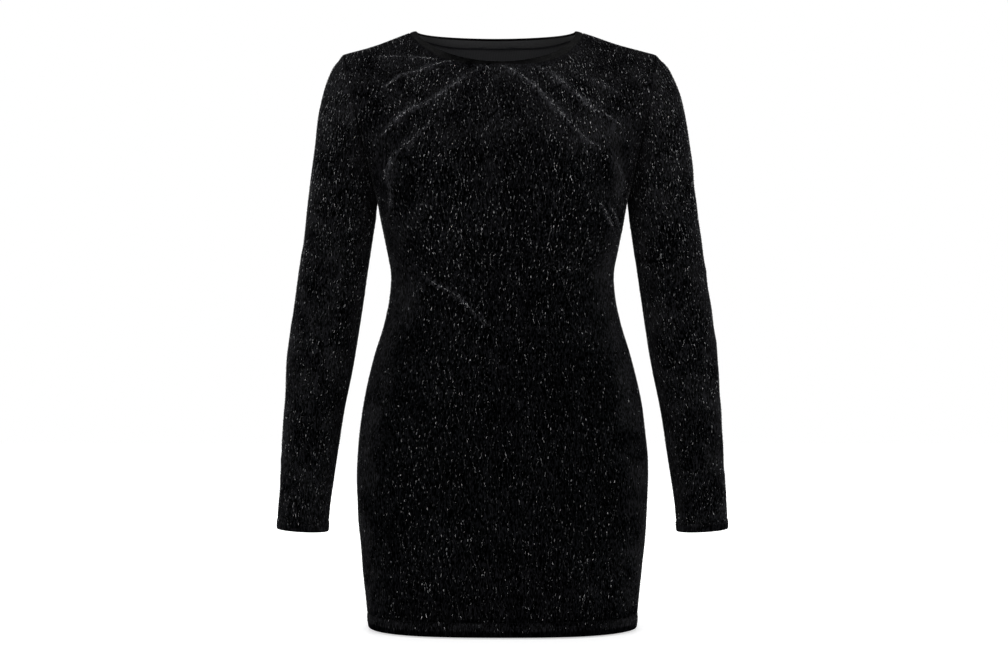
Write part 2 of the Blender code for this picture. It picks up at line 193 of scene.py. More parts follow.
# %% Torso: half of a superellipse at each height
def torso(side, height, across):
    """Half ring |x/a|^n + |y/b|^n = 1 from one side seam (across -1) to the other (1)."""
    keys = np.array([ring.height for ring in TORSO])
    _, half_width, front, back, squareness = read_table(TORSO, keys, height)
    depth = front if side == FRONT else back
    angle = across * math.pi / 2
    power = 2 / squareness
    x = half_width * np.sign(angle) * np.abs(np.sin(angle)) ** power
    y = side * depth * np.abs(np.cos(angle)) ** power
    return np.stack(np.broadcast_arrays(x, y, height), -1)


# %% Yoke: columns from the underarm to the shoulder, cut at the neck and bent to the armholes
def neck_edge(side, angle):
    """The band's upper edge: half an oval, dropped in front; the angle is 0 at the centre."""
    reach = np.abs(np.cos(angle))
    x = NECK_HALF_WIDTH * np.sin(angle)
    z = -NECK_DROP[side] * reach**NECK_DROP_POWER
    return np.stack([x, side * NECK_DEPTH[side] * reach, z], -1)


def ridge(side, across):
    """Top line of the yoke: the shoulder seam, carried on across the neck with a dip."""
    corner = np.array([NECK_CUT_HALF_WIDTH, 0.0, NECK_CORNER_HEIGHT])
    crowd = math.log(corner[0] / SHOULDER_POINT[0]) / math.log(
        torso(side, UNDERARM[2:], np.array([NECK_SHARE]))[0, 0] / UNDERARM[0]
    )
    base = torso(side, np.full_like(across, UNDERARM[2]), across)[..., 0]
    x = SHOULDER_POINT[0] * (np.abs(base) / UNDERARM[0]) ** crowd
    along = (x - corner[0]) / (SHOULDER_POINT[0] - corner[0])
    z = corner[2] + (SHOULDER_POINT[2] - corner[2]) * along
    z -= SHOULDER_SAG * np.sin(math.pi * np.clip(along, 0, 1)) ** 2
    z -= YOKES[side].ridge_dip * np.clip(1 - (x / corner[0]) ** 2, 0, 1) ** DIP_POWER
    return np.stack([x * np.sign(across), np.zeros_like(x), z], -1)


def column(side, up, across):
    """A cubic from the underarm ring (up 0), straight on, to the ridge (1), met level."""
    shape = YOKES[side]
    start = torso(side, np.full_like(across, UNDERARM[2]), across)
    below = torso(side, np.full_like(across, UNDERARM[2] - WALL), across)
    outwards = np.abs(across)[..., None]
    climb = shape.climb_centre + (shape.climb_side - shape.climb_centre) * ease(0, 1, outwards)
    landing = shape.landing_centre
    landing += (shape.landing_corner - shape.landing_centre) * ease(0, NECK_SHARE, outwards)
    landing += (shape.landing_side - shape.landing_corner) * ease(NECK_SHARE, 1, outwards)
    return hermite(
        start, climb * unit(start - below), ridge(side, across), -side * landing * Y_AXIS,
        up[..., None],
    )


def neck_cut(side, across):
    """How far up its column the neckline's oval is met, by halving; 1 on the shoulders."""
    low, high = np.zeros_like(across), np.ones_like(across)
    half_size = np.array([NECK_CUT_HALF_WIDTH, YOKES[side].neck_cut])
    for _ in range(CUT_STEPS):
        middle = (low + high) / 2
        outside = np.sum((column(side, middle, across)[..., :2] / half_size) ** 2, axis=-1) > 1
        low, high = np.where(outside, middle, low), np.where(outside, high, middle)
    return np.where(np.abs(across) < NECK_SHARE, low, 1.0)


def armhole(side, up):
    """Armhole seam from the underarm (up 0) to the shoulder point (1), in one flat plane."""
    rise = np.sin(up * math.pi / 2)[..., None]
    reach = side * ARMHOLE_REACH * np.abs(np.sin(up * math.pi))[..., None] ** ARMHOLE_ROUND
    return UNDERARM + (SHOULDER_POINT - UNDERARM) * rise + Y_AXIS * reach


def yoke(side, up, across):
    """From the underarm ring (up 0) to the neckline and shoulder (1), bent to the armholes."""
    top = neck_cut(side, across[:1] if across.ndim > 1 else across)
    edge = np.ones_like(across)
    pull = armhole(side, up) - column(side, up, edge)
    outwards = np.clip((np.abs(across) - ARMHOLE_PULL_START) / (1 - ARMHOLE_PULL_START), 0, 1)
    pull = pull * (outwards**2)[..., None]
    pull[..., 0] *= np.sign(across)
    return column(side, up * top, across) + pull


# %% Sizes and rings of a sleeve
ARMHOLE_NORMAL = unit(np.cross(Y_AXIS, SHOULDER_POINT - UNDERARM))

Cut = namedtuple("Cut", "outer_x outer_z inner_x inner_z half_depth centre_y")
SLEEVE = (
    Cut(SHOULDER_POINT[0], SHOULDER_POINT[2], UNDERARM[0], UNDERARM[2], ARMHOLE_REACH, 0.0),
    Cut(0.2080, -0.0380, 0.1622, -0.2262, 0.048, 0.000),
    Cut(0.2180, -0.0500, 0.1626, -0.2295, 0.051, 0.001),
    Cut(0.2288, -0.0740, 0.1633, -0.2345, 0.053, 0.001),
    Cut(0.2380, -0.1080, 0.1645, -0.2430, 0.054, 0.002),
    Cut(0.2440, -0.1520, 0.1668, -0.2580, 0.054, 0.002),
    Cut(0.2502, -0.2050, 0.1710, -0.2850, 0.053, 0.002),
    Cut(0.2580, -0.2700, 0.1775, -0.3300, 0.051, 0.001),
    Cut(0.2690, -0.3450, 0.1850, -0.3820, 0.049, 0.000),
    Cut(0.2790, -0.4200, 0.1937, -0.4360, 0.046, -0.002),
    Cut(0.2826, -0.4880, 0.2050, -0.4940, 0.041, -0.006),
    Cut(0.2856, -0.5500, 0.2140, -0.5550, 0.036, -0.012),
    Cut(0.2886, -0.6080, 0.2218, -0.6130, 0.032, -0.019),
    Cut(0.2905, -0.6440, 0.2240, -0.6480, 0.031, -0.023),
)
ROUND_FROM = 4.0  # the row of the table from which the sections are round
SLEEVE_HALF_CELLS = 48


def sleeve_rings(down):
    """Rings of the wearer's left sleeve, each from the underarm over the front and back again.

    A ring is an oval slanted between its outer and inner edge. Its halves are rounder further
    down, and pointed at both ends where they meet the armhole.
    """
    keys = np.arange(len(SLEEVE), dtype=float)
    cut = Cut(*(values[:, None] for values in read_table(SLEEVE, keys, down)))
    up = np.linspace(0, 1, SLEEVE_HALF_CELLS + 1)
    up = np.concatenate([up, up[-2:0:-1]])
    side = np.where(np.arange(len(up)) <= SLEEVE_HALF_CELLS, FRONT, BACK)
    pointed = np.clip(1 - down / ROUND_FROM, 0, 1)[:, None]
    swing = np.abs(np.sin(up * math.pi))
    rise = pointed * np.sin(up * math.pi / 2) + (1 - pointed) * (1 - np.cos(up * math.pi)) / 2
    reach = pointed * swing**ARMHOLE_ROUND + (1 - pointed) * swing
    x = cut.inner_x + (cut.outer_x - cut.inner_x) * rise
    z = cut.inner_z + (cut.outer_z - cut.inner_z) * rise
    y = cut.centre_y + side * cut.half_depth * reach
    return np.stack([x, y, z], -1)


# %% Outward directions of the cloth
def panel_normals(surface, side, rows, across, top):
    """Outward unit normals of a panel's surface, from small steps along and up it."""
    right = surface(side, rows, np.minimum(across + STEP, 1))
    left = surface(side, rows, np.maximum(across - STEP, -1))
    above = surface(side, np.minimum(rows + STEP, top), across)
    below = surface(side, rows - STEP, across)
    return unit(np.cross(right - left, above - below)) * -side


def ring_normals(rings):
    """Outward unit normals of rings round a limb, which follow one another down it."""
    wrapped = np.concatenate([rings[:, -1:], rings, rings[:, :1]], axis=1)
    around = np.gradient(wrapped, axis=1)[:, 1:-1]
    return -unit(np.cross(around, np.gradient(rings, axis=0)))


# %% [markdown]
# ## Creases, seams and turned edges
#
# Stretch velvet lies close, but it drags where it is pulled: from the neck to the armholes, under
# the arms and at the waist. Each crease is a soft ridge with a shallow trough under it. A table
# gives the places it runs through, as seen from the front or back, so one function can draw
# them all as relief on the grid. Seams dip, and turned hems are round at the fold.

# %% Creases of the front and the back
Crease = namedtuple("Crease", "height half_width points")

# Heights and half widths in millimetres; points are millimetres across and up from the origin.
FRONT_CREASES = (
    Crease(1.3, 2.4, ((-163, -40), (-140, -39), (-110, -42), (-80, -46))),
    Crease(1.6, 3.6, ((-62, -48), (-83, -53), (-107, -61), (-132, -68), (-150, -82))),
    Crease(0.7, 3.4, ((-20, -56), (-34, -64), (-52, -76))),
    Crease(2.2, 3.8, ((-46, -71), (-71, -89), (-95, -103), (-120, -114), (-137, -127),
                      (-154, -145))),
    Crease(1.0, 4.8, ((-81, -128), (-100, -140), (-121, -157), (-138, -170), (-146, -191),
                      (-153, -202))),
    Crease(2.3, 3.6, ((0, -58), (20, -67), (44, -87), (68, -112), (92, -138), (112, -157))),
    Crease(0.5, 5.0, ((104, -152), (128, -164), (146, -182), (154, -204), (150, -224))),
    Crease(1.7, 6.5, ((38, -56), (62, -66), (84, -84), (102, -101), (122, -112), (149, -129))),
    Crease(0.8, 5.0, ((88, -60), (114, -74), (134, -81), (159, -95))),
    Crease(1.0, 2.4, ((-32, -57), (-21, -58), (-10, -66), (-4, -77))),
    Crease(1.8, 2.8, ((-102, -316), (-89, -328), (-68, -339), (-56, -347), (-43, -358),
                      (-32, -370), (-17, -383))),
    Crease(0.4, 4.6, ((53, -306), (72, -312), (92, -313), (112, -310))),
    Crease(1.8, 2.6, ((123, -230), (134, -248), (146, -272))),
    Crease(1.6, 2.4, ((135, -229), (143, -245), (151, -264))),
    Crease(0.9, 4.0, ((-149, -186), (-143, -206), (-141, -222), (-146, -244))),
)
BACK_CREASES = (
    Crease(1.8, 5.5, ((45, -26), (68, -52), (96, -88), (124, -116), (148, -142))),
    Crease(1.2, 4.5, ((82, -30), (104, -58), (128, -80), (156, -98))),
    Crease(2.0, 5.5, ((-40, -28), (-62, -50), (-92, -82), (-118, -104), (-148, -126))),
    Crease(1.3, 5.0, ((-70, -120), (-100, -142), (-126, -168), (-146, -196))),
    Crease(1.0, 4.0, ((62, -138), (92, -160), (122, -186), (142, -214))),
    Crease(2.2, 6.5, ((-120, -300), (-78, -316), (-30, -327), (22, -324), (70, -318))),
    Crease(1.8, 7.0, ((115, -352), (72, -362), (28, -371), (-26, -370), (-80, -362))),
    Crease(1.6, 5.5, ((138, -250), (112, -272), (74, -292), (30, -300))),
    Crease(1.0, 5.0, ((-134, -262), (-112, -274), (-80, -282))),
)
CREASE_TIP = 0.04
CREASE_STEPS = 40
CREASE_REACH = 5  # half widths beyond which a crease isn't felt
BLUNT = 0.7  # power of the swell along creases and turned edges
TROUGH = 0.5  # depth of the trough, as a share of the ridge's height
TROUGH_AT = 1.8  # its place, in half widths below the ridge
TROUGH_WIDTH = 1.35
UNEVEN = 0.38  # share by which a ridge rises and falls along its length
UNEVEN_TURNS = 1.7  # how many times it does so, one or two more on the creases that follow
UNEVEN_SHIFT = 0.37
OPEN_HEIGHT = 2.3  # millimetres of ridge at which the pile is fully open and fully painted lighter
OPEN_WIDTH = 0.60  # of the opened strip painted lighter, in half widths


def crease_path(crease):
    """The line of a crease, in metres: a curve through its points in even shares of the table."""
    keys = np.arange(len(crease.points), dtype=float)
    return read_table(np.array(crease.points) * MM, keys, np.linspace(0, keys[-1], CREASE_STEPS)).T


def crease_relief(creases, place):
    """Height of the creases at each place, and how far the pile opens there and is painted
    lighter as a highlight, from 0 to about 1.

    Along a crease the height swells as a sine and wavers. Across it, at distance d below the
    ridge in half widths, it is exp(-d^2) less a broader, lower bell beside it. The pile opens
    along the ridge alone, and is painted lighter there as a highlight.
    """
    relief, opening = np.zeros((2, *place.shape[:-1]))
    for number, crease in enumerate(creases):
        path = crease_path(crease)
        reach = CREASE_REACH * crease.half_width * MM
        low, high = path.min(axis=0) - reach, path.max(axis=0) + reach
        near = np.all((place > low) & (place < high), axis=-1)
        step = np.diff(path, axis=0)
        gap = place[near][:, None] - path[:-1]
        part = np.clip(np.sum(gap * step, axis=-1) / np.sum(step**2, axis=-1), 0, 1)
        gap = gap - part[..., None] * step
        distance = np.linalg.norm(gap, axis=-1)
        best = distance.argmin(axis=-1)
        row = np.arange(len(best))
        along = (best + part[row, best]) / len(step)
        cross = gap[row, best, 0] * step[best, 1] - gap[row, best, 1] * step[best, 0]
        below = np.sign(cross) * (1 if path[-1, 0] > path[0, 0] else -1)
        d = distance[row, best] * below / (crease.half_width * MM)
        turns = along * (UNEVEN_TURNS + number % 3) + UNEVEN_SHIFT * number
        waver = 1 + UNEVEN * np.sin(2 * math.pi * turns)
        height = crease.height * swell(along, CREASE_TIP, BLUNT) * waver
        relief[near] += height * MM * (bell(d) - TROUGH * bell((d - TROUGH_AT) / TROUGH_WIDTH))
        opening[near] += height / OPEN_HEIGHT * bell(d / OPEN_WIDTH)
    return relief, opening


# %% Slow waves in the cloth, seams that dip, and the turned hem
WAVE_HEIGHT = 0.0004
SEAM_DIP = 0.0004
SEAM_SPREAD = 0.0018
NECK_DIP_SHARE = 0.3  # of that dip along the neck seam
HEM_SWELL = 0.0006
STITCH_DIP = 0.0006
STITCH_SPREAD = 0.0014
FOLD_ROUND = 0.0014


def waves(flat, seed, count, shortest, longest):
    """Sum of sines in all directions over the flat cloth, scaled to a height of about one."""
    draw = np.random.default_rng(seed)
    length = draw.uniform(shortest, longest, count)
    turn, phase = draw.uniform(0, 2 * math.pi, (2, count))
    way = np.stack([np.cos(turn), np.sin(turn)]) / length
    return np.sin(2 * math.pi * flat @ way + phase).sum(axis=-1) / math.sqrt(count)


def seam_dip(distance):
    """A bell-shaped valley along a seam."""
    return -SEAM_DIP * bell(distance / SEAM_SPREAD)


def turned_edge(distance, turn):
    """How far a turned edge rounds off at its fold, and its low swell less the stitches' dip."""
    inside = np.clip(1 - distance / FOLD_ROUND, 0, 1)
    fold = FOLD_ROUND * (np.sqrt(1 - inside**2) - 1)
    raised = HEM_SWELL * swell(np.clip(distance / turn, 0, 1), 0, BLUNT)
    return fold, raised - STITCH_DIP * bell((distance - turn) / STITCH_SPREAD)


def flat_places(skin, middle):
    """How far each point of a grid lies from its middle column and up from its first row."""
    across = way_along(skin, 1)
    return np.stack([across - across[:, middle : middle + 1], way_along(skin)], -1)


def to_sides(flat):
    """How far each point of a grid lies from the nearer end of its row."""
    return np.minimum(flat[..., 0] - flat[:, :1, 0], flat[:, -1:, 0] - flat[..., 0])


def two_skins(skin, facing, relief, fold, to_edge, turn):
    """Outer and inner skin of cloth with this relief, twice as thick where it is turned up."""
    thickness = WALL + (TURNED_WALL - WALL) * (1 - ease(turn, turn + TURN_STEP, to_edge))
    inner = skin + (relief - thickness - 2 * fold)[..., None] * facing
    return skin + relief[..., None] * facing, inner


# %% [markdown]
# ## Walls of cloth
#
# Solidify could thicken a single skin, but here the turned hems are twice as thick, the seam
# edges are trimmed to planes, and the wrong side needs its own material. So each piece is a
# closed wall: an outer grid, an inner grid and a rim between them, written straight into a
# mesh. Its UV map is the flat cloth in metres.

# %% Faces of a grid and of a closed wall
OUTER, INNER = 0, 1
SHARP_ANGLE = math.radians(55)  # trimmed seam edges stay sharp, folds stay round


def quads(numbers):
    """Four-sided faces between neighbouring rows and columns of a grid of point numbers."""
    corners = [numbers[:-1, :-1], numbers[:-1, 1:], numbers[1:, 1:], numbers[1:, :-1]]
    return np.stack(corners, -1).reshape(-1, 4)


def numbering(points):
    """Numbers of the points of a grid, row by row."""
    return np.arange(points[..., 0].size).reshape(points.shape[:2])


def repeated(faces, count, size):
    """The faces of one small shape of so many points, repeated for each of many."""
    return (faces + (np.arange(count) * size)[:, None, None]).reshape(-1, faces.shape[1])


def wall(outer, inner, flat, closed, flipped):
    """Points, faces, UV places and material numbers of a wall between two skins."""
    numbers = numbering(outer)
    behind = numbers.size
    if closed:
        numbers = closed_up(numbers, 1)
        borders = [numbers[0], numbers[-1, ::-1]]
    else:
        loop = [numbers[0, :-1], numbers[:-1, -1], numbers[-1, :0:-1], numbers[:0:-1, 0]]
        borders = [closed_up(np.concatenate(loop), 0)]
    front, back = quads(numbers), quads(numbers)[:, ::-1] + behind
    rims = [quads(np.stack([border, border + behind]))[:, ::-1] for border in borders]
    faces = np.concatenate([front, back, *rims])
    sides = np.full(len(faces), OUTER)
    sides[len(front) : len(front) + len(back)] = INNER
    points = np.concatenate([outer.reshape(-1, 3), inner.reshape(-1, 3)])
    places = np.concatenate([flat.reshape(-1, 2)] * 2)
    return points, faces[:, ::-1] if flipped else faces, places, sides


def add_piece(name, points, faces, places=None, sides=None, materials=()):
    """A mesh object at the origin, smooth, with a UV map in metres and its materials."""
    mesh = bpy.data.meshes.new(name)
    size = faces.shape[1]
    mesh.vertices.add(len(points))
    mesh.vertices.foreach_set("co", points.astype(np.float32).ravel())
    mesh.loops.add(faces.size)
    mesh.loops.foreach_set("vertex_index", faces.astype(np.int32).ravel())
    mesh.polygons.add(len(faces))
    mesh.polygons.foreach_set("loop_start", np.arange(0, faces.size, size, dtype=np.int32))
    mesh.polygons.foreach_set("use_smooth", np.ones(len(faces), bool))
    if sides is not None:
        mesh.polygons.foreach_set("material_index", sides.astype(np.int32))
    if places is not None:
        layer = mesh.uv_layers.new(name="cloth")
        layer.data.foreach_set("uv", places[faces.ravel()].astype(np.float32).ravel())
    mesh.update(calc_edges=True)
    mesh.validate()
    mesh.set_sharp_from_angle(angle=SHARP_ANGLE)
    for material in materials:
        mesh.materials.append(material)
    made = bpy.data.objects.new(name, mesh)
    bpy.context.scene.collection.objects.link(made)
    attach(made, "root")
    return made


# %% [markdown]
# ## The finish of the cloth
#
# Stretch velvet is a nylon or polyester pile on an elastic knit. Cut pile swallows light seen
# from above and glows where it is seen from the side, so its base colour is nearly black and
# sheen does the rest. That glow is also painted into the colour as painted light and sheen,
# lighter at the sides, on the shoulders and towards the armholes, and the crease ridges are
# painted lighter as a highlight. The wrong side is a flat, fine jersey, dark grey. The yarn
# that glints is polyester film with a metal coat.

# %% Functions for colours, nodes and materials
def linear(hex_colour):
    """An sRGB colour such as #0a0a0c as linear RGBA."""
    value = np.array([int(hex_colour[i : i + 2], 16) for i in (1, 3, 5)]) / 255
    value = np.where(value <= 0.04045, value / 12.92, ((value + 0.055) / 1.055) ** 2.4)
    return (*value, 1.0)


def add_node(owner, kind, output, feeds=(), **settings):
    """A new node of a material or world; gives one of its outputs, by name or number.

    feeds are pairs of an input and the output or value that it takes. A setting is an input's
    value, by its name with _ for spaces, or else a property of the node.
    """
    node = owner.node_tree.nodes.new("ShaderNode" + kind)
    for name, value in settings.items():
        socket = node.inputs.get(name.replace("_", " "))
        if socket is None:
            setattr(node, name, value)
        else:
            socket.default_value = value
    for name, source in feeds:
        if isinstance(source, bpy.types.NodeSocket):
            owner.node_tree.links.new(source, node.inputs[name])
        else:
            node.inputs[name].default_value = source
    return node.outputs[output] if node.outputs else None


def add_noise(owner, place, scale, **more):
    return add_node(owner, "TexNoise", "Fac", [("Vector", place)], Scale=scale, **more)


def remap(owner, value, taken, given):
    """A value carried from the range taken to the range given, and held inside it."""
    return add_node(
        owner, "MapRange", "Result", [("Value", value)],
        From_Min=taken[0], From_Max=taken[1], To_Min=given[0], To_Max=given[1],
    )


def two_tone(material, value, dark, light, ends=(0.0, 1.0)):
    """A colour that turns from dark to light between two values."""
    ramp = material.node_tree.nodes.new("ShaderNodeValToRGB")
    material.node_tree.links.new(value, ramp.inputs["Fac"])
    for element, position, colour in zip(ramp.color_ramp.elements, ends, (dark, light)):
        element.position, element.color = position, linear(colour)
    return ramp.outputs["Color"]


def add_material(name, **settings):
    """A material with its Principled shader, whose constants are set on its own sockets."""
    material = bpy.data.materials.new(name)
    material.use_nodes = True
    shader = material.node_tree.nodes["Principled BSDF"]
    for socket, value in settings.items():
        shader.inputs[socket.replace("_", " ")].default_value = value
    return material, shader


def link(material, source, shader, socket):
    material.node_tree.links.new(source, shader.inputs[socket])


# %% Velvet
CLUMP_SCALE = 720.0
CLUMP_STRETCH = 0.26  # of that scale up the cloth
TUFT_ENDS = (0.44, 0.66)  # noise between which the tufts turn from deep to worn
PATCH_SCALE = 26.0
PATCH_NOISE, PATCH_SHADES = (0.3, 0.7), (0.55, 1.45)
PAINTED_SHEEN_FILL = 0.004  # painted sheen: linear brightness added where the painted light is strongest, mostly at the sides
PAINTED_SHEEN_FILL_FROM = (0.95, 2.0)  # painted light between which that sheen comes in
TORN_NOISE, MOST_TORN = (0.40, 0.62), 1.2  # how ragged the parted pile is along a ridge
CLUMP_BUMP, CLUMP_HEIGHT = 0.4, 0.0008


def velvet(name, deep, worn, parted_pile_highlight_colour, sheen):
    """Black pile: tufts in two shades, slow patches where the nap lies differently, painted light
    and sheen, and crease ridges painted lighter.

    Tufts are about 0.3 mm apart, too fine to show, so they are drawn in clumps of 1.4 mm, four
    times as long up the cloth. A painted light attribute multiplies them, lighter on the shoulders
    and at the sides. Along sharp creases the pile parts, and the ridge is painted lighter as a
    highlight. Where the painted light is strongest, mostly at the sides, a painted sheen also fills
    the dark gaps between the clumps.
    """
    material, shader = add_material(
        name, Roughness=0.9, Specular_IOR_Level=0.0, Sheen_Weight=sheen, Sheen_Roughness=0.13,
        Sheen_Tint=linear("#cfcfd2"),
    )
    cloth = add_node(material, "TexCoord", "Object")
    stretched = add_node(
        material, "Mapping", "Vector", [("Vector", cloth)], Scale=(1.0, 1.0, CLUMP_STRETCH)
    )
    clumps = add_noise(material, stretched, CLUMP_SCALE, Detail=1.0, Roughness=0.6)
    tufts = two_tone(material, clumps, deep, worn, TUFT_ENDS)
    patches = add_noise(material, cloth, PATCH_SCALE, Detail=3.0, Roughness=0.6)
    uneven = remap(material, patches, PATCH_NOISE, PATCH_SHADES)
    # Painted light and sheen of the pile, read from an attribute of each point.
    painted_nap = add_node(material, "Attribute", "Fac", attribute_name="painted_nap_light")
    shade = add_node(material, "Math", "Value", [(0, uneven), (1, painted_nap)], operation="MULTIPLY")
    pile = add_node(
        material, "VectorMath", "Vector", [(0, tufts), (1, shade)], operation="MULTIPLY"
    )
    # Painted sheen: a flat brightness fills the dark gaps where the painted light is strong; closed
    # is the pile with it added.
    painted_sheen_fill = remap(material, shade, PAINTED_SHEEN_FILL_FROM, (0.0, PAINTED_SHEEN_FILL))
    closed = add_node(material, "VectorMath", "Vector", [(0, pile), (1, painted_sheen_fill)], operation="ADD")
    # Crease ridges: the pile parts there, and the ridge is painted lighter as a highlight.
    parted_and_lit = add_node(material, "Attribute", "Fac", attribute_name="parted_pile_highlight")
    torn = remap(material, clumps, TORN_NOISE, (0.0, MOST_TORN))
    ragged = add_node(
        material, "Math", "Value", [(0, parted_and_lit), (1, torn)], operation="MULTIPLY", use_clamp=True
    )
    # Inputs 6 and 7 and output 2 of a mix are its colours.
    colour = add_node(
        material, "Mix", 2, [("Factor", ragged), (6, closed), (7, linear(parted_pile_highlight_colour))],
        data_type="RGBA",
    )
    bump = add_node(
        material, "Bump", "Normal", [("Height", clumps)], Strength=CLUMP_BUMP,
        Distance=CLUMP_HEIGHT,
    )
    link(material, colour, shader, "Base Color")
    link(material, bump, shader, "Normal")
    return material


# The third colour of each velvet is that of its crease ridges, where the pile parts, painted
# lighter as a highlight.
glitter_velvet = velvet("stretch_velvet_pile", "#000000", "#131315", "#3b3b3e", 0.14)
# The neckband is the same velvet, copied darker and with less sheen as painted shade, because its
# rounded top catches the light.
darker_band_velvet = velvet("neckband_velvet_painted_darker", "#030303", "#0b0b0b", "#37373a", 0.08)

# %% Wrong side of the velvet: fine jersey, its stitch columns drawn 2.2 mm wide, so they show
jersey, jersey_shader = add_material(
    "velvet_wrong_side_jersey", Roughness=0.8, Specular_IOR_Level=0.2, Sheen_Weight=0.15,
    Sheen_Roughness=0.5,
)
knit = add_node(
    jersey, "TexWave", "Fac", [("Vector", add_node(jersey, "TexCoord", "UV"))],
    bands_direction="X", Scale=140.0, Distortion=0.6, Detail=1.0,
)
knit_bump = add_node(jersey, "Bump", "Normal", [("Height", knit)], Strength=0.3, Distance=0.0003)
link(jersey, two_tone(jersey, knit, "#303032", "#3a3a3c"), jersey_shader, "Base Color")
link(jersey, knit_bump, jersey_shader, "Normal")


# %% Flattened pile, thread, overlocked edges and metallised yarn
def mottled(name, coordinates, scale, dark, light, **settings):
    """A material that wanders between two shades with a noise of the given scale."""
    material, shader = add_material(name, **settings)
    noise = add_noise(material, add_node(material, "TexCoord", coordinates), scale)
    link(material, two_tone(material, noise, dark, light), shader, "Base Color")
    return material


# The inner face of the neckband is the same cloth with its pile worn flat, painted lighter partly
# for that smoother pile and partly as painted light and sheen inside the back neck.
band_facing = mottled(
    "neckband_flat_pile_painted_lighter", "UV", 300.0, "#202021", "#333334", Roughness=0.75,
    Specular_IOR_Level=0.2, Sheen_Weight=0.2, Sheen_Roughness=0.5,
)
thread = mottled(
    "black_polyester_thread", "Object", 900.0, "#020203", "#0b0b0d", Roughness=0.8,
    Specular_IOR_Level=0.1,
)
jersey_edge = mottled(
    "overlocked_jersey_edge", "Object", 700.0, "#19191b", "#2a2a2d", Roughness=0.85,
    Specular_IOR_Level=0.1,
)
yarn, yarn_shader = add_material("metallised_film_yarn", Metallic=1.0, Roughness=0.38)
glint = add_node(yarn, "Attribute", "Color", attribute_name="glint")
link(yarn, glint, yarn_shader, "Base Color")
print("materials:", ", ".join(sorted(m.name for m in bpy.data.materials if m.users == 0)))

# %% [markdown]
# ## Front and back
#
# Each is one grid from the hem to the shoulders. Columns crowd towards the corners of the
# neckline, where the edge turns fastest, and rows crowd at the hem, where the fold is round.

# %% Grid of a panel
NECK_CELLS = 80
SHOULDER_CELLS = 48
YOKE_ROWS = 104
TORSO_ROWS = 116
CORNER_CROWD = 0.6
FOLD_STEPS = np.array(  # rows up from the fold
    [0.0, 0.00015, 0.0005, 0.0010, 0.0016, 0.0030, 0.0050, 0.0068, 0.0085, 0.0110, 0.0140]
)
STITCH_STEPS = np.array([-0.0018, -0.0009, 0.0, 0.0008])  # and round the upper stitches
FOLD_STEPS_END = 0.003  # the first rows end this far below those stitches


def neck_columns():
    """Columns that end on the neckline, closer together towards its corners."""
    even = np.linspace(-1, 1, NECK_CELLS + 1)
    return NECK_SHARE * ((1 - CORNER_CROWD) * even + CORNER_CROWD * np.sin(even * math.pi / 2))


def panel_columns():
    """Columns of a panel: shoulder, neck, shoulder."""
    shoulder = np.linspace(NECK_SHARE, 1, SHOULDER_CELLS + 1)
    return np.concatenate([-shoulder[:0:-1], neck_columns(), shoulder[1:]])


def edge_rows(turn):
    """Distances up a turned edge: fine at the fold, then fine again round the stitches."""
    return np.concatenate([FOLD_STEPS[FOLD_STEPS < turn - FOLD_STEPS_END], turn + STITCH_STEPS])


def band_frame(side):
    """Neck seam points of one panel, the unit directions from there up the band, its heights."""
    across = neck_columns()
    seam = yoke(side, np.ones_like(across), across)
    angle = np.arcsin(np.clip(seam[:, 0] / NECK_CUT_HALF_WIDTH, -1, 1))
    rise = neck_edge(side, angle) - seam
    return seam, unit(rise), np.linalg.norm(rise, axis=-1)


def slide_to_plane(points, slide, plane_point, plane_normal):
    """Points past a plane go back along their own slide direction until they lie on it."""
    past = (points - plane_point) @ plane_normal
    rate = slide @ plane_normal
    return points - slide * np.where(past > 0, past / rate, 0)[..., None]


# Painted light and sheen of the pile by height, which the table gives as height in metres,
# share: dark as painted shade at the very fold of the hem, lighter over the turned hem, darker
# on the skirt, and lighter towards the shoulders, where the pile hangs down and is seen from its
# tips on their slopes.
PAINTED_LIGHT_BY_HEIGHT = np.array([
    (-0.7670, 0.4), (-0.7640, 0.5), (-0.7620, 1.1), (-0.7540, 1.1), (-0.7515, 0.5),
    (-0.7450, 0.6), (-0.7400, 0.78), (-0.6000, 0.68), (-0.4200, 0.74), (-0.3000, 0.82),
    (-0.1900, 0.88), (-0.1400, 1.10), (-0.0900, 1.22), (-0.0300, 1.4),
])
SIDE_PAINTED_SHEEN = 2.0  # painted sheen: how much lighter the pile is painted at the side seams, where it is seen from the side
SIDE_REACH = 0.115
SIDE_NAP_HEIGHTS = (-0.30, -0.19)  # between which that ends below the arms
LighterPatch = namedtuple("LighterPatch", "x z half_width half_height amount")
LIGHTER_PATCHES = (  # places of the front painted lighter and smoky
    LighterPatch(0.128, -0.152, 0.034, 0.026, 0.9),
    LighterPatch(0.146, -0.195, 0.008, 0.035, 0.9),
    LighterPatch(-0.126, -0.156, 0.020, 0.018, 0.3),
    LighterPatch(-0.140, -0.190, 0.010, 0.035, 0.2),
    LighterPatch(0.085, -0.105, 0.030, 0.022, 0.4),
)


def painted_nap_light(points, to_side):
    """Painted light and sheen of the pile on a skin: about 1 at the chest, more at the sides."""
    x, y, z = np.moveaxis(points, -1, 0)
    side = (1 - ease(*SIDE_NAP_HEIGHTS, z)) * (1 - ease(0, SIDE_REACH, to_side))
    shade = np.interp(z, *PAINTED_LIGHT_BY_HEIGHT.T) * (1 + SIDE_PAINTED_SHEEN * side)
    for patch in LIGHTER_PATCHES:
        beside, above = (x - patch.x) / patch.half_width, (z - patch.z) / patch.half_height
        shade += patch.amount * bell(beside) * bell(above) * (y < 0)
    return shade


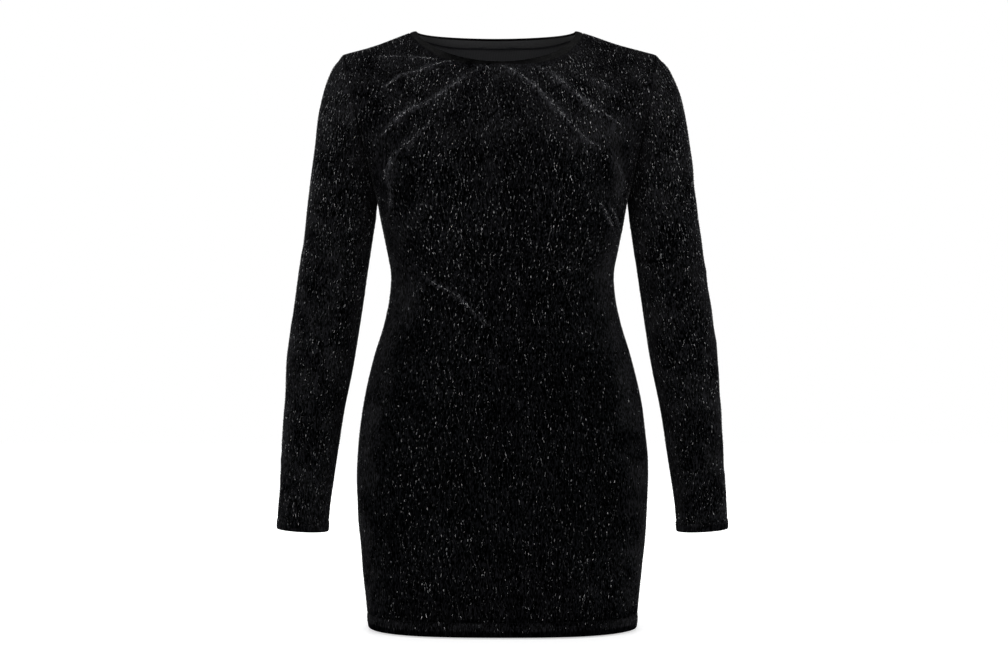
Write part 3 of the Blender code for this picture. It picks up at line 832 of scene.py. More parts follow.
def add_pile(piece, opening, shade):
    """Keeps the parted pile with its painted highlight, and the painted light and sheen,
    as attributes of the outer skin.
    """
    for name, values in (("parted_pile_highlight", opening), ("painted_nap_light", shade)):
        layer = piece.data.attributes.new(name, "FLOAT", "POINT")
        spare = np.zeros(len(piece.data.vertices) - values.size)
        layer.data.foreach_set("value", np.append(values, spare).astype(np.float32))


def add_cloth(name, node, parts, opening, shade):
    """A piece of glitter velvet, from the parts of its wall, that stands for its node."""
    made = add_piece(name, *parts, (glitter_velvet, jersey))
    add_pile(made, opening, shade)
    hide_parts(node)
    print(name, "triangles:", 2 * len(made.data.polygons))
    return made


# %% Build the panels
PANEL_WAVES = (14, 0.045, 0.130)  # how many, shortest and longest
SIDE_MARGIN = 0.020  # over which creases and waves end towards the side seams
TOP_MARGIN = 0.012

Cloth = namedtuple("Cloth", "piece skin flat opening")


def panel_skins(side, creases, seed):
    """Outer and inner skin of a panel, and per point its flat place, open pile with its painted
    highlight, and painted light.
    """
    across = panel_columns()
    turned = HEM + edge_rows(HEM_TURN)
    straight = np.linspace(turned[-1] + TURN_STEP, UNDERARM[2], TORSO_ROWS)
    heights = np.concatenate([turned, straight])
    low = np.broadcast_arrays(heights[:, None], across)
    high = np.broadcast_arrays(np.linspace(0, 1, YOKE_ROWS + 1)[1:, None], across)
    skin = np.concatenate([torso(side, *low), yoke(side, *high)])
    facing = np.concatenate(
        [panel_normals(torso, side, *low, UNDERARM[2]), panel_normals(yoke, side, *high, 1)]
    )
    flat = flat_places(skin, len(across) // 2)
    to_side, to_hem = to_sides(flat), flat[..., 1]
    to_top = to_hem[-1:] - to_hem
    fold, hem_relief = turned_edge(to_hem, HEM_TURN)
    relief, opening = crease_relief(creases, skin[..., (0, 2)])
    relief += WAVE_HEIGHT * waves(flat, seed, *PANEL_WAVES)
    relief *= ease(0, SIDE_MARGIN, to_side) * ease(0, TOP_MARGIN, to_top)
    on_neck = np.abs(across) < NECK_SHARE
    relief += seam_dip(np.where(on_neck, to_side, np.minimum(to_side, to_top)))
    relief += hem_relief + fold + NECK_DIP_SHARE * seam_dip(to_top) * on_neck
    skin, inner = two_skins(skin, facing, relief, fold, to_hem, HEM_TURN)

    first = len(heights) - 1
    for edge, beside, normal in ((0, 1, ARMHOLE_NORMAL * MIRROR), (-1, -2, ARMHOLE_NORMAL)):
        skin[first:, edge] -= normal * SEAM_GAP / 2
        slide = unit(skin[first:, edge] - skin[first:, beside])
        inner[first:, edge] = slide_to_plane(inner[first:, edge], slide, skin[first, edge], normal)
    for one in (skin, inner):
        one[..., 1] = side * (np.maximum(side * one[..., 1], 0) + SEAM_GAP / 2)
    neck = slice(SHOULDER_CELLS, SHOULDER_CELLS + NECK_CELLS + 1)
    up_band = band_frame(side)[1]
    skin[-1, neck] -= up_band * SEAM_GAP / 2
    past = np.sum((inner[-1, neck] - skin[-1, neck]) * up_band, axis=-1, keepdims=True)
    inner[-1, neck] -= up_band * past
    skin, inner = lean(skin), lean(inner)
    return skin, inner, flat, opening, painted_nap_light(skin, to_side)


def add_panel(name, node, side, creases, seed):
    """A panel, with its outer skin, flat places and open pile with its painted highlight."""
    skin, inner, flat, opening, shade = panel_skins(side, creases, seed)
    made = add_cloth(name, node, wall(skin, inner, flat, False, side == BACK), opening, shade)
    return Cloth(made, skin, flat, opening)


front = add_panel("dress_front", "front_panel", FRONT, FRONT_CREASES, 11)
back = add_panel("dress_back", "back_panel", BACK, BACK_CREASES, 23)

# %% [markdown]
# ## Sleeves
#
# A sleeve is a tube of slanted rings, from the armhole seam to the turned cuff. It drags softly
# from the armhole and creases a little at the elbow and above the wrist. Its places are
# measured round the arm from the underarm seam and down from the shoulder.

# %% Sleeve creases: millimetres round the arm from its outer edge, and down from the shoulder
SLEEVE_CREASES = (
    Crease(1.2, 7.0, ((-112, 40), (-84, 66), (-52, 92), (-22, 112))),
    Crease(0.9, 6.0, ((-96, 92), (-70, 118), (-40, 136))),
    Crease(1.2, 7.0, ((108, 44), (80, 74), (50, 104), (20, 120))),
    Crease(0.8, 6.0, ((-88, 268), (-58, 284), (-24, 290), (6, 284))),
    Crease(1.1, 6.5, ((-94, 316), (-66, 330), (-36, 334))),
    Crease(1.0, 6.0, ((90, 300), (60, 322), (30, 330), (4, 326))),
    Crease(0.8, 6.0, ((-60, 372), (-30, 384), (0, 380))),
    Crease(0.7, 4.5, ((-70, 540), (-44, 552), (-12, 556), (14, 550))),
    Crease(0.7, 4.5, ((66, 524), (40, 540), (10, 546))),
    Crease(0.6, 4.0, ((-64, 572), (-30, 580), (2, 577))),
)
SLEEVE_ROWS = 190
SLEEVE_WAVES = (12, 0.04, 0.11)
ARMHOLE_MARGIN = 0.015  # over which creases and waves end towards the armhole
UNDERARM_MARGIN = 0.012
CUFF_MARGIN = 0.03
RIGHT_RISE = 0.02  # how much higher creases sit on the right sleeve
SLEEVE_PAINTED_LIGHT = 1.05  # painted light of the pile on the front and back of the arm
OUTER_PAINTED_SHEEN = 1.6  # painted sheen added on its outer edge, where the pile is seen from the side
OUTER_NAP_REACH = 0.09  # in widths of the arm
INNER_PAINTED_LIGHT = 1.9  # painted light added on its inner edge, which gets less light
INNER_NAP_REACH = 0.08
SHOULDER_PAINTED_LIGHT = 0.3  # painted light added on the shoulder, whose slope faces up
SLEEVE_NAP_HEIGHTS = (-0.16, -0.04)
ARMHOLE_PAINTED_LIGHT = 1.2  # painted light added towards the armhole on the inside of the arm, lifting the shade there
ARMHOLE_NAP_REACH = 0.05
SLEEVE_PARTING_AND_HIGHLIGHT = 0.25  # the pile opens, and its ridges are painted lighter, less on the sleeves, whose creases are rounder


def sleeve_painted_light(skin, to_top):
    """Painted light and sheen on a sleeve's rings, by the way round the arm and down it."""
    turn = 2 * math.pi * np.arange(skin.shape[1]) / skin.shape[1]
    inner_side = 0.5 + 0.5 * np.cos(turn)
    shade = SLEEVE_PAINTED_LIGHT + SHOULDER_PAINTED_LIGHT * ease(*SLEEVE_NAP_HEIGHTS, skin[..., 2])
    shade += ARMHOLE_PAINTED_LIGHT * inner_side * np.exp(-to_top / ARMHOLE_NAP_REACH)
    shade += OUTER_PAINTED_SHEEN * np.exp(-inner_side / OUTER_NAP_REACH)
    return shade + INNER_PAINTED_LIGHT * np.exp(-(1 - inner_side) / INNER_NAP_REACH)


def add_sleeve(name, node, mirror, seed):
    """The wearer's left sleeve (mirror 1) or right one (-1); its rings are closed at the seam."""
    length = SLEEVE[-2].outer_z - SLEEVE[-1].outer_z
    cuff = len(SLEEVE) - 1 - edge_rows(CUFF_TURN)[::-1] / length
    down = np.concatenate([np.linspace(0, cuff[0] - TURN_STEP / length, SLEEVE_ROWS), cuff])
    skin = sleeve_rings(down)
    facing = ring_normals(skin)
    flat = flat_places(closed_up(skin, 1), SLEEVE_HALF_CELLS)
    places, to_side = flat[:, :-1], to_sides(flat)[:, :-1]
    to_top = places[..., 1]
    to_cuff = flat[-1:, :-1, 1] - to_top
    fold, cuff_relief = turned_edge(to_cuff, CUFF_TURN)
    relief, opening = crease_relief(SLEEVE_CREASES, places + [0.0, RIGHT_RISE * (mirror < 0)])
    relief += WAVE_HEIGHT * waves(places, seed, *SLEEVE_WAVES)
    relief *= ease(0, ARMHOLE_MARGIN, to_top) * ease(0, UNDERARM_MARGIN, to_side)
    relief *= ease(CUFF_TURN, CUFF_MARGIN, to_cuff)
    relief += seam_dip(np.minimum(to_top, to_side)) + cuff_relief + fold
    skin, inner = two_skins(skin, facing, relief, fold, to_cuff, CUFF_TURN)
    skin[0] += ARMHOLE_NORMAL * SEAM_GAP / 2
    inner[0] = slide_to_plane(inner[0], unit(skin[0] - skin[1]), skin[0, 0], -ARMHOLE_NORMAL)
    skin, inner = (lean(one * [mirror, 1, 1]) for one in (skin, inner))
    opening *= SLEEVE_PARTING_AND_HIGHLIGHT
    parts = wall(skin, inner, places, True, mirror > 0)
    made = add_cloth(name, node, parts, opening, sleeve_painted_light(skin, to_top))
    return Cloth(made, closed_up(skin, 1), flat, opening)


left = add_sleeve("dress_sleeve_left", "sleeve_left", 1, 31)
right = add_sleeve("dress_sleeve_right", "sleeve_right", -1, 47)

# %% [markdown]
# ## Neckband
#
# The band is a narrow strip folded double and sewn round the neck. Its section is carried round
# the neck seam: it pinches in at the seam, swells a little and is round at the fold.

# %% Section of the neckband
BAND_WALL = 0.0024
BAND_PINCH = 0.0007
PINCH_REACH = 0.1  # share of the band's height
BAND_SWELL = 0.0005
BAND_BLUNT = 0.8
BAND_INSIDE = 0.5  # share of that relief on its inner side
BAND_ROWS = np.array([0.0, 0.06, 0.14, 0.26, 0.42, 0.60, 0.78])
FOLD_CELLS = 10
BAND_CORNER_PAINTED_SHEEN = 2.6  # painted sheen where the band turns over the shoulder and the pile is seen from the side
FACING_ROWS = 7
FACING_EDGE = -0.0123  # height of the facing's lower edge across the middle of the back
FACING_FLAT = 0.046


def band_section():
    """Share of the band's height, then offsets up it and out of it, once round the section."""
    radius = BAND_WALL / 2
    turn = np.linspace(0, math.pi, FOLD_CELLS + 1)
    fold = [np.ones_like(turn), radius * (np.sin(turn) - 1), radius * (np.cos(turn) - 1)]
    raised = BAND_SWELL * swell(BAND_ROWS, 0, BAND_BLUNT)
    raised -= BAND_PINCH * bell(BAND_ROWS / PINCH_REACH)
    outside = np.stack([BAND_ROWS, 0 * BAND_ROWS, raised], -1)
    inside = np.stack([BAND_ROWS, 0 * BAND_ROWS, -BAND_WALL - BAND_INSIDE * raised], -1)[::-1]
    return np.concatenate([outside, np.stack(fold, -1), inside])


def once_round(of_front, of_back):
    """Values at the points of a seam of both panels, as one loop that starts on the right."""
    return np.concatenate([of_front, of_back[-2:0:-1]])


# %% Carry it round the neck seam
section = band_section()
seam, up, height = map(once_round, band_frame(FRONT), band_frame(BACK))
along = np.roll(seam, -1, axis=0) - np.roll(seam, 1, axis=0)
outwards = unit(np.cross(along, up))
rise = section[:, 0] * height[:, None] + section[:, 1] + (1 - section[:, 0]) * SEAM_GAP / 2
section_rows = np.arange(len(section))
facing_rows = section_rows >= len(section) - FACING_ROWS
middle_back = (seam[:, 1] > 0) & (np.abs(seam[:, 0]) < FACING_FLAT)
facing_drop = np.where(middle_back, (seam[:, 2] - FACING_EDGE) / up[:, 2], 0)
rise -= facing_drop[:, None] * (1 - section[:, 0]) * facing_rows
strip = seam[:, None] + up[:, None] * rise[..., None] + outwards[:, None] * section[:, 2:]
numbers = closed_up(closed_up(numbering(strip), 0), 1)
lengthways = np.linalg.norm(along, axis=-1).cumsum() / 2
band_places = np.stack(np.broadcast_arrays(lengthways[:, None], rise), -1).reshape(-1, 2)
band_sides = np.tile(facing_rows & (section_rows < len(section) - 1), len(seam))
band = add_piece(
    "dress_neckband", lean(strip).reshape(-1, 3), quads(numbers)[:, ::-1], band_places, band_sides,
    (darker_band_velvet, band_facing),
)
# Painted sheen: the band is painted lighter towards its corners, where it turns over the shoulder.
corner_share = np.abs(seam[:, 0]) / NECK_CUT_HALF_WIDTH
band_painted_light = np.repeat(1 + BAND_CORNER_PAINTED_SHEEN * corner_share**2, len(section))
add_pile(band, 0 * band_painted_light, band_painted_light)
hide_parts("neckband")

# %% [markdown]
# ## Seam allowances
#
# Inside, each seam has an overlocked edge about 6 mm deep that stands off the wrong side. It is
# a thin strip carried along the seam, and it also keeps light from showing through the seam.

# %% Strips along the seams
ALLOWANCE = 0.0065
ALLOWANCE_WALL = 0.0016
ALLOWANCE_START = 0.0008
HEM_ALLOWANCE = 0.0024  # hidden between the layers of the turned hem
HEM_ALLOWANCE_FADE = 0.006
HEM_CLEAR = 0.0006
NECK_ALLOWANCE = 0.0028  # trimmed short
NECK_ALLOWANCE_WALL = 0.0007
NECK_ALLOWANCE_DROP = 0.0018
WAVERS = ((0.0012, 0.21, 0), (0.0006, 0.53, 1))  # height, radians at each point, start
STRIP_CELLS = 5
SIDE_STEPS, SHOULDER_STEPS, ARMHOLE_STEPS = 140, 40, 60
BELOW_NECK = 0.97  # how far up its column the cloth is read beside the neck seam


def allowance(seam, inwards, closed, reach=ALLOWANCE, thick=ALLOWANCE_WALL, sway=1.0):
    """Points and faces of a thin strip that reaches inwards along a seam and wavers a little."""
    inwards = unit(inwards)
    along = np.gradient(seam, axis=0)
    if closed:
        along = np.roll(seam, -1, axis=0) - np.roll(seam, 1, axis=0)
    across = unit(np.cross(along, inwards))
    share = np.linspace(0, 1, STRIP_CELLS)
    share = np.concatenate([share, share[::-1]])
    deepest = np.broadcast_to(reach, len(seam))[:, None]
    depth = ALLOWANCE_START + share * (deepest - ALLOWANCE_START)
    count = np.arange(len(seam))[:, None]
    waver = sway * sum(height * np.sin(count * rate + start) for height, rate, start in WAVERS)
    offset = np.repeat([thick / 2, -thick / 2], STRIP_CELLS) + share**2 * waver
    points = seam[:, None] + inwards[:, None] * depth[..., None]
    points += across[:, None] * offset[..., None]
    numbers = closed_up(numbering(points), 1)
    if closed:
        faces = quads(closed_up(numbers, 0))
    else:
        cells = np.arange(STRIP_CELLS)
        end = quads(np.stack([cells, 2 * STRIP_CELLS - 1 - cells]))
        faces = np.concatenate([quads(numbers), end, end[:, ::-1] + numbers[-1, 0]])
    return points.reshape(-1, 3), faces


def add_joined(name, parts, material):
    """Several sets of points and faces as one piece."""
    points, faces = zip(*parts)
    starts = np.cumsum([0] + [len(each) for each in points[:-1]])
    faces = np.concatenate([each + start for each, start in zip(faces, starts)])
    made = add_piece(name, np.concatenate(points), faces, materials=(material,))
    bpy.context.view_layer.objects.active = made
    made.select_set(True)
    bpy.ops.object.mode_set(mode="EDIT")
    bpy.ops.mesh.select_all(action="SELECT")
    bpy.ops.mesh.normals_make_consistent(inside=False)
    bpy.ops.object.mode_set(mode="OBJECT")
    made.select_set(False)
    return made


strips = []
side_heights = np.linspace(HEM + HEM_CLEAR, UNDERARM[2], SIDE_STEPS)
turn_end = HEM + HEM_TURN
side_deep = ease(turn_end, turn_end + HEM_ALLOWANCE_FADE, side_heights)
side_deep = HEM_ALLOWANCE + (ALLOWANCE - HEM_ALLOWANCE) * side_deep
side_line = torso(FRONT, side_heights, np.ones(SIDE_STEPS))
shoulder_line = ridge(FRONT, np.linspace(NECK_SHARE, 1, SHOULDER_STEPS))
downwards = np.tile([0.0, 0.0, -1.0], (SHOULDER_STEPS, 1))
hole = once_round(*(armhole(side, np.linspace(0, 1, ARMHOLE_STEPS)) for side in (FRONT, BACK)))
to_middle = (SHOULDER_POINT + UNDERARM) / 2 - hole
for mirror in (np.ones(3), MIRROR):
    side_inwards = np.cross(np.gradient(side_line * mirror, axis=0), Y_AXIS) * mirror[0]
    strips.append(allowance(lean(side_line * mirror), side_inwards, False, side_deep))
    strips.append(allowance(lean(shoulder_line * mirror), downwards, False))
    strips.append(allowance(lean(hole * mirror), to_middle * mirror, True))
lower = (yoke(side, np.full(NECK_CELLS + 1, BELOW_NECK), neck_columns()) for side in (FRONT, BACK))
down_cloth = unit(once_round(*lower) - seam)
behind_cloth = unit(np.cross(down_cloth, along))
behind_cloth *= np.sign(np.sum(behind_cloth * -outwards, axis=-1, keepdims=True))
neck_line = seam + behind_cloth * (WALL + NECK_ALLOWANCE_WALL / 2 + SEAM_GAP / 2)
neck_line = lean(neck_line - down_cloth * NECK_ALLOWANCE_DROP)
neck_reach = NECK_ALLOWANCE + facing_drop
strips.append(allowance(neck_line, down_cloth, True, neck_reach, NECK_ALLOWANCE_WALL, 0.0))
allowances = add_joined("seam_allowances", strips, jersey_edge)
print("seam allowances:", len(strips))

# %% [markdown]
# ## Topstitching
#
# Hem and cuffs are turned once and sewn with a twin needle: two rows of stitches, each about
# 2.6 mm long. They lie in the dip that they pull into the velvet. All stitches of a row are
# worked out at once, as small six-sided beads of thread.

# %% Stitches
STITCH_LENGTH = 0.0026
STITCH_PITCH = 0.0034
THREAD_RADIUS = 0.00020
STITCH_LIFT = 0.3  # of that radius
TWIN_GAP = 0.005
BEAD = np.array([[-0.5, 0.0], [-0.35, 0.8], [0.0, 1.0], [0.35, 0.8], [0.5, 0.0]])
BEAD_SIDES = 6


def beads(centre, along, outwards):
    """Points and faces of stitches: a rounded profile turned round each stitch's own line."""
    along, outwards = unit(along), unit(outwards)
    sideways = np.cross(along, outwards)
    turn = np.arange(BEAD_SIDES)[:, None] * 2 * math.pi / BEAD_SIDES
    spoke = np.cos(turn) * outwards[:, None] + np.sin(turn) * sideways[:, None]
    length, radius = (BEAD * [STITCH_LENGTH, THREAD_RADIUS]).T
    spine = centre[:, None] + along[:, None] * length[:, None]
    points = spine[:, :, None] + spoke[:, None] * radius[:, None, None]
    faces = quads(closed_up(numbering(points[0]), 1))
    return points.reshape(-1, 3), repeated(faces, len(centre), len(BEAD) * BEAD_SIDES)


def middle_line(flat):
    """How far up each row of a grid lies, read down its middle."""
    return flat[:, flat.shape[1] // 2, 1]


def stitch_rows(skin, flat, turn):
    """Twin rows of stitches at the turn of a hem or cuff, whose edge is the first row."""
    up = middle_line(flat)
    rows = []
    for target in (turn, turn - TWIN_GAP):
        index = np.interp(target, up, np.arange(len(up)))
        low, part = int(index), index % 1
        line = skin[low] * (1 - part) + skin[low + 1] * part
        arc = way_along(line)
        at = np.arange(STITCH_PITCH, arc[-1] - STITCH_PITCH, STITCH_PITCH)
        centre = read_line(line, arc, at)
        along = read_line(line, arc, at + MM) - centre
        outwards = unit(np.cross(along, read_line(unit(skin[low + 1] - skin[low]), arc, at)))
        away = np.sum(outwards * (centre - line.mean(axis=0)), axis=-1, keepdims=True)
        outwards *= np.sign(away)
        rows.append(beads(centre + outwards * THREAD_RADIUS * STITCH_LIFT, along, outwards))
    return rows


hem_rows = [row for cloth in (front, back) for row in stitch_rows(cloth.skin, cloth.flat, HEM_TURN)]
hem_stitches = add_joined("hem_stitches", hem_rows, thread)
cuff_rows = []
for cloth in (left, right):
    from_cuff = cloth.flat[-1:] - cloth.flat
    cuff_rows += stitch_rows(cloth.skin[::-1], from_cuff[::-1], CUFF_TURN)
cuff_stitches = add_joined("cuff_stitches", cuff_rows, thread)

# %% [markdown]
# ## Glints of metallised yarn
#
# The yarn runs up the cloth in wavy lines and comes to the face in short floats. Painted dots
# would be flat, so each float is a small closed lozenge of film with its own tilt. The
# lines keep an even spacing in the flat cloth. Brightness is an attribute on the mesh, from
# nearly black to silver, because most floats are half buried in the pile. It is also painted
# by place: dimmer beside the side seams and on the skirt as painted shade, brighter on the
# yoke as painted light, and brighter along crease ridges, where the pile parts, partly as a
# painted highlight.

# %% Places of the floats on a grid
LINE_GAP = 0.0036
FLOAT_GAP = 0.0028
FLOAT_STRAY = 1.1  # in gaps up the line
LINE_STRAY = 0.0003
LINE_WAVE = 0.0022
WAVE_STEP = 0.0062  # height over which a line turns by one radian
EDGE_CLEAR = 0.0010
CROWD_BY_HEIGHT = np.array([  # height in metres, share of the floats kept
    (-0.750, 0.35), (-0.745, 0.70), (-0.450, 0.67), (-0.320, 0.70), (-0.220, 0.95),
    (-0.110, 1.2),
])
SLEEVE_CROWD = 1.1
SIDE_CROWD = 0.30  # share of the floats kept beside the side seams
BELOW_YOKE = (-0.15, -0.10)  # heights between which the sides begin to count
YOKE_SIDE = 1.0  # how far inland a side counts on the yoke
SEAM_SIDE = 0.6  # and close beside a side seam, which faces sideways
SEAM_REACH = (0.020, 0.060)
LEAST_RISE = 1e-6


def float_places(cloth, low, high, seed, side_reach, crowding):
    """Where floats lie on cloth: points, ways up and across, flat places, open pile with its
    painted highlight, inland.

    Lines stand LINE_GAP apart in the flat cloth and waver; floats follow each other up them.
    Inland is 1 where the cloth faces forwards or back, and less beside the side seams.
    """
    skin, flat = cloth.skin, cloth.flat
    draw = np.random.default_rng(seed)
    up_line = middle_line(flat)
    widest = np.abs(flat[..., 0]).max()
    lines = np.arange(-widest, widest, LINE_GAP)
    steps = np.arange(low, high, FLOAT_GAP)
    across, up = (grid.ravel() for grid in np.meshgrid(lines, steps))
    up = up + draw.uniform(-0.5, 0.5, up.size) * FLOAT_GAP * FLOAT_STRAY
    wave = up / WAVE_STEP + np.tile(draw.uniform(0, 2 * math.pi, lines.size), steps.size)
    across = across + LINE_WAVE * np.sin(wave) + draw.normal(0, LINE_STRAY, up.size)
    slope = LINE_WAVE / WAVE_STEP * np.cos(wave)
    up = np.clip(up, low, high)

    index = np.interp(up, up_line, np.arange(len(up_line)))
    row = np.minimum(index.astype(int), len(up_line) - 2)
    r = (index - row)[:, None]
    row_line = flat[row, :, 0] * (1 - r) + flat[row + 1, :, 0] * r
    inside = (across > row_line[:, 0] + EDGE_CLEAR) & (across < row_line[:, -1] - EDGE_CLEAR)
    col = np.clip(np.sum(row_line < across[:, None], axis=1) - 1, 0, flat.shape[1] - 2)
    each = np.arange(len(col))
    start = row_line[each, col]
    c = ((across - start) / (row_line[each, col + 1] - start))[:, None]
    corner, beside = skin[row, col], skin[row, col + 1]
    above, opposite = skin[row + 1, col], skin[row + 1, col + 1]
    points = (corner * (1 - c) + beside * c) * (1 - r) + (above * (1 - c) + opposite * c) * r
    beside, above = beside - corner, above - corner

    to_side = np.minimum(across - row_line[:, 0], row_line[:, -1] - across)
    inland = np.maximum(ease(0, side_reach, to_side), YOKE_SIDE * ease(*BELOW_YOKE, points[:, 2]))
    inland = np.maximum(inland, SEAM_SIDE * (1 - ease(*SEAM_REACH, to_side)))
    crowd = np.interp(points[:, 2], *CROWD_BY_HEIGHT.T) * (SIDE_CROWD + (1 - SIDE_CROWD) * inland)
    area = np.linalg.norm(np.cross(beside, above), axis=-1)
    rise = np.maximum(up_line[row + 1] - up_line[row], LEAST_RISE)
    room = area / np.linalg.norm(beside, axis=-1) / rise
    keep = inside & (draw.uniform(0, 1, up.size) < room * crowd * crowding)
    towards = unit(above) + slope[:, None] * unit(beside)
    places = np.stack([across, up], -1)
    found = (points, towards, beside, places, cloth.opening[row, col], inland)
    return [values[keep] for values in found]


# %% Floats along the crest of a crease
CREST_STEP = 0.0014
CREST_STRAY = 0.16  # in half widths of the crease
CREST_KEEP = 0.8
CREST_FULL = 1.8  # millimetres of ridge at which the crest is fully lined
CREST_TIP = 0.1
CREST_BLUNT = 0.5
NO_WAY = 1e-9  # keeps the last step of a crest from having no direction


def crest_places(cloth, creases, seed):
    """Floats that lie side by side on the crests, where the pile parts down to the yarn.

    Their brightness there is raised, partly for the bared yarn and partly as a painted highlight.
    """
    draw = np.random.default_rng(seed)
    corner = cloth.skin[:-1, :-1].reshape(-1, 3)
    up = cloth.skin[1:, :-1].reshape(-1, 3) - corner
    beside = cloth.skin[:-1, 1:].reshape(-1, 3) - corner
    places = cloth.flat[:-1, :-1].reshape(-1, 2)
    found = []
    for crease in creases:
        path = crease_path(crease)
        arc = way_along(path)
        at = np.arange(0, arc[-1], CREST_STEP)
        at = at[draw.uniform(0, 1, at.size) < CREST_KEEP * min(1, crease.height / CREST_FULL)]
        target = read_line(path, arc, at)
        way = unit(read_line(path, arc, at + MM) - target + NO_WAY)
        stray = draw.normal(0, CREST_STRAY * crease.half_width * MM, at.size)
        target = target + stray[:, None] * way[:, ::-1] * [-1, 1]
        near = np.linalg.norm(corner[:, (0, 2)] - target[:, None], axis=-1).argmin(axis=-1)
        axes = np.stack([up[near], beside[near]], -1)
        seen = axes[:, (0, 2)]
        shares = np.linalg.solve(seen, (target - corner[near][:, (0, 2)])[..., None])
        points = corner[near] + (axes @ shares)[..., 0]
        along = (axes @ np.linalg.solve(seen, way[..., None]))[..., 0]
        across = np.cross(along, np.cross(beside[near], up[near]))
        parted_and_lit = swell(at / arc[-1], CREST_TIP, CREST_BLUNT) * crease.height / OPEN_HEIGHT
        found.append((points, along, across, places[near], parted_and_lit, np.ones_like(parted_and_lit)))
    return [np.concatenate(values) for values in zip(*found)]


# %% Bars of film
FILM = np.array([
    [-0.5, -0.5, 0.0], [0.5, -0.4, 0.0], [0.5, 0.5, 0.0], [-0.5, 0.4, 0.0], [0.0, 0.0, 1.0],
])
FILM_FACES = np.array([[0, 1, 4], [1, 2, 4], [2, 3, 4], [3, 0, 4], [2, 1, 0], [0, 3, 2]])
FILM_RISE = 0.00016
FILM_THICK = 0.00022
FILM_WIDTHS = (0.00025, 0.00042)
FILM_LENGTHS = (0.0011, 0.0032)
ROLL, TILT = 0.08, 0.12  # radians by which floats turn on the cloth and out of it
TILT_RISE = 0.3  # share of their length by which tilted floats rise, for each radian

LEAST_GLINT, MEAN_GLINT, MOST_GLINT = 5, 30, 100  # of 255, as they should look
SIDE_GLINT_PAINTED_SHADE = 0.35  # share left beside the side seams: painted shade where the cloth turns away
SIDE_GLINT_REACH = 0.17
SLEEVE_GLINT_REACH = 0.030
SLEEVE_GLINT = 0.9
RIDGE_HIGHLIGHT_GLINT = 0.65  # added on crease ridges: bared yarn and a painted highlight
SKIRT_GLINT_PAINTED_SHADE = 0.8  # share of that brightness left on the skirt: painted shade, darker downwards
SKIRT_HEIGHTS = (-0.5, -0.2)
YOKE_GLINT_PAINTED_LIGHT = 0.15  # and share added on the yoke: painted light on its upward slopes
YOKE_HEIGHTS = (-0.17, -0.08)
CLUSTER_WAVES = (10, 0.012, 0.05)  # clusters of brighter floats: how many, shortest, longest
CLUSTER_RANGE = (-1.2, 1.6)
CLUSTER_GLINT = (0.7, 0.6)  # share between the clusters, and what they add
GLINT_COVER = 0.24  # share of its surroundings that a float fills at viewing distance
DISPLAY_POWER = 2.2
BLUE = 1.02


def add_glints(name, cloth, low, high, seed, outward_sign, creases=()):
    """All floats of one piece as one mesh of closed bars, each with its brightness."""
    reach, crowding, share = SLEEVE_GLINT_REACH, SLEEVE_CROWD, SLEEVE_GLINT
    if creases:
        reach, crowding, share = SIDE_GLINT_REACH, 1.0, 1.0
    found = float_places(cloth, low, high, seed, reach, crowding)
    if creases:
        found = map(np.concatenate, zip(found, crest_places(cloth, creases, seed + 3)))
    points, up, across, places, parted_and_lit, inland = found
    draw = np.random.default_rng(seed + 1)
    count = len(points)
    outwards = unit(np.cross(across, up)) * outward_sign
    up = unit(up)
    roll = draw.normal(0, ROLL, count)[:, None]
    across = np.cross(up, outwards)
    rolled_up = up * np.cos(roll) + across * np.sin(roll)
    across = across * np.cos(roll) - up * np.sin(roll)
    tilt = draw.normal(0, TILT, count)[:, None]
    up = unit(rolled_up + outwards * tilt)
    length = draw.uniform(*FILM_LENGTHS, count)
    width = draw.uniform(*FILM_WIDTHS, count)
    size = np.stack([width, length, np.full(count, FILM_THICK)], -1)
    centre = points + outwards * (FILM_RISE + np.abs(tilt) * TILT_RISE * length[:, None])
    shaped = centre[:, None] + (FILM * size[:, None]) @ np.stack([across, up, outwards], 1)
    faces = repeated(FILM_FACES, count, len(FILM))
    made = add_piece(name, shaped.reshape(-1, 3), faces, materials=(yarn,))
    made.data.polygons.foreach_set("use_smooth", np.zeros(len(faces), bool))

    clusters = ease(*CLUSTER_RANGE, waves(places, seed + 2, *CLUSTER_WAVES))
    # Painted light and shade of the floats: dimmer on the skirt and beside the side seams, brighter
    # on the yoke, brighter on crease ridges.
    gain = SKIRT_GLINT_PAINTED_SHADE + (1 - SKIRT_GLINT_PAINTED_SHADE) * ease(*SKIRT_HEIGHTS, points[:, 2])
    gain += YOKE_GLINT_PAINTED_LIGHT * ease(*YOKE_HEIGHTS, points[:, 2])
    gain *= SIDE_GLINT_PAINTED_SHADE + (1 - SIDE_GLINT_PAINTED_SHADE) * inland
    gain *= CLUSTER_GLINT[0] + CLUSTER_GLINT[1] * clusters
    gain += RIDGE_HIGHLIGHT_GLINT * np.clip(parted_and_lit, 0, 1)
    shown = LEAST_GLINT + draw.exponential(MEAN_GLINT, count) * gain * share
    bright = (np.minimum(shown, MOST_GLINT * share) / 255) ** DISPLAY_POWER / GLINT_COVER
    colour = np.stack([bright, bright, bright * BLUE, np.ones(count)], -1)
    layer = made.data.color_attributes.new("glint", "FLOAT_COLOR", "POINT")
    layer.data.foreach_set("color", np.repeat(colour, len(FILM), axis=0).astype(np.float32).ravel())
    print(name, "floats:", count)
    return made


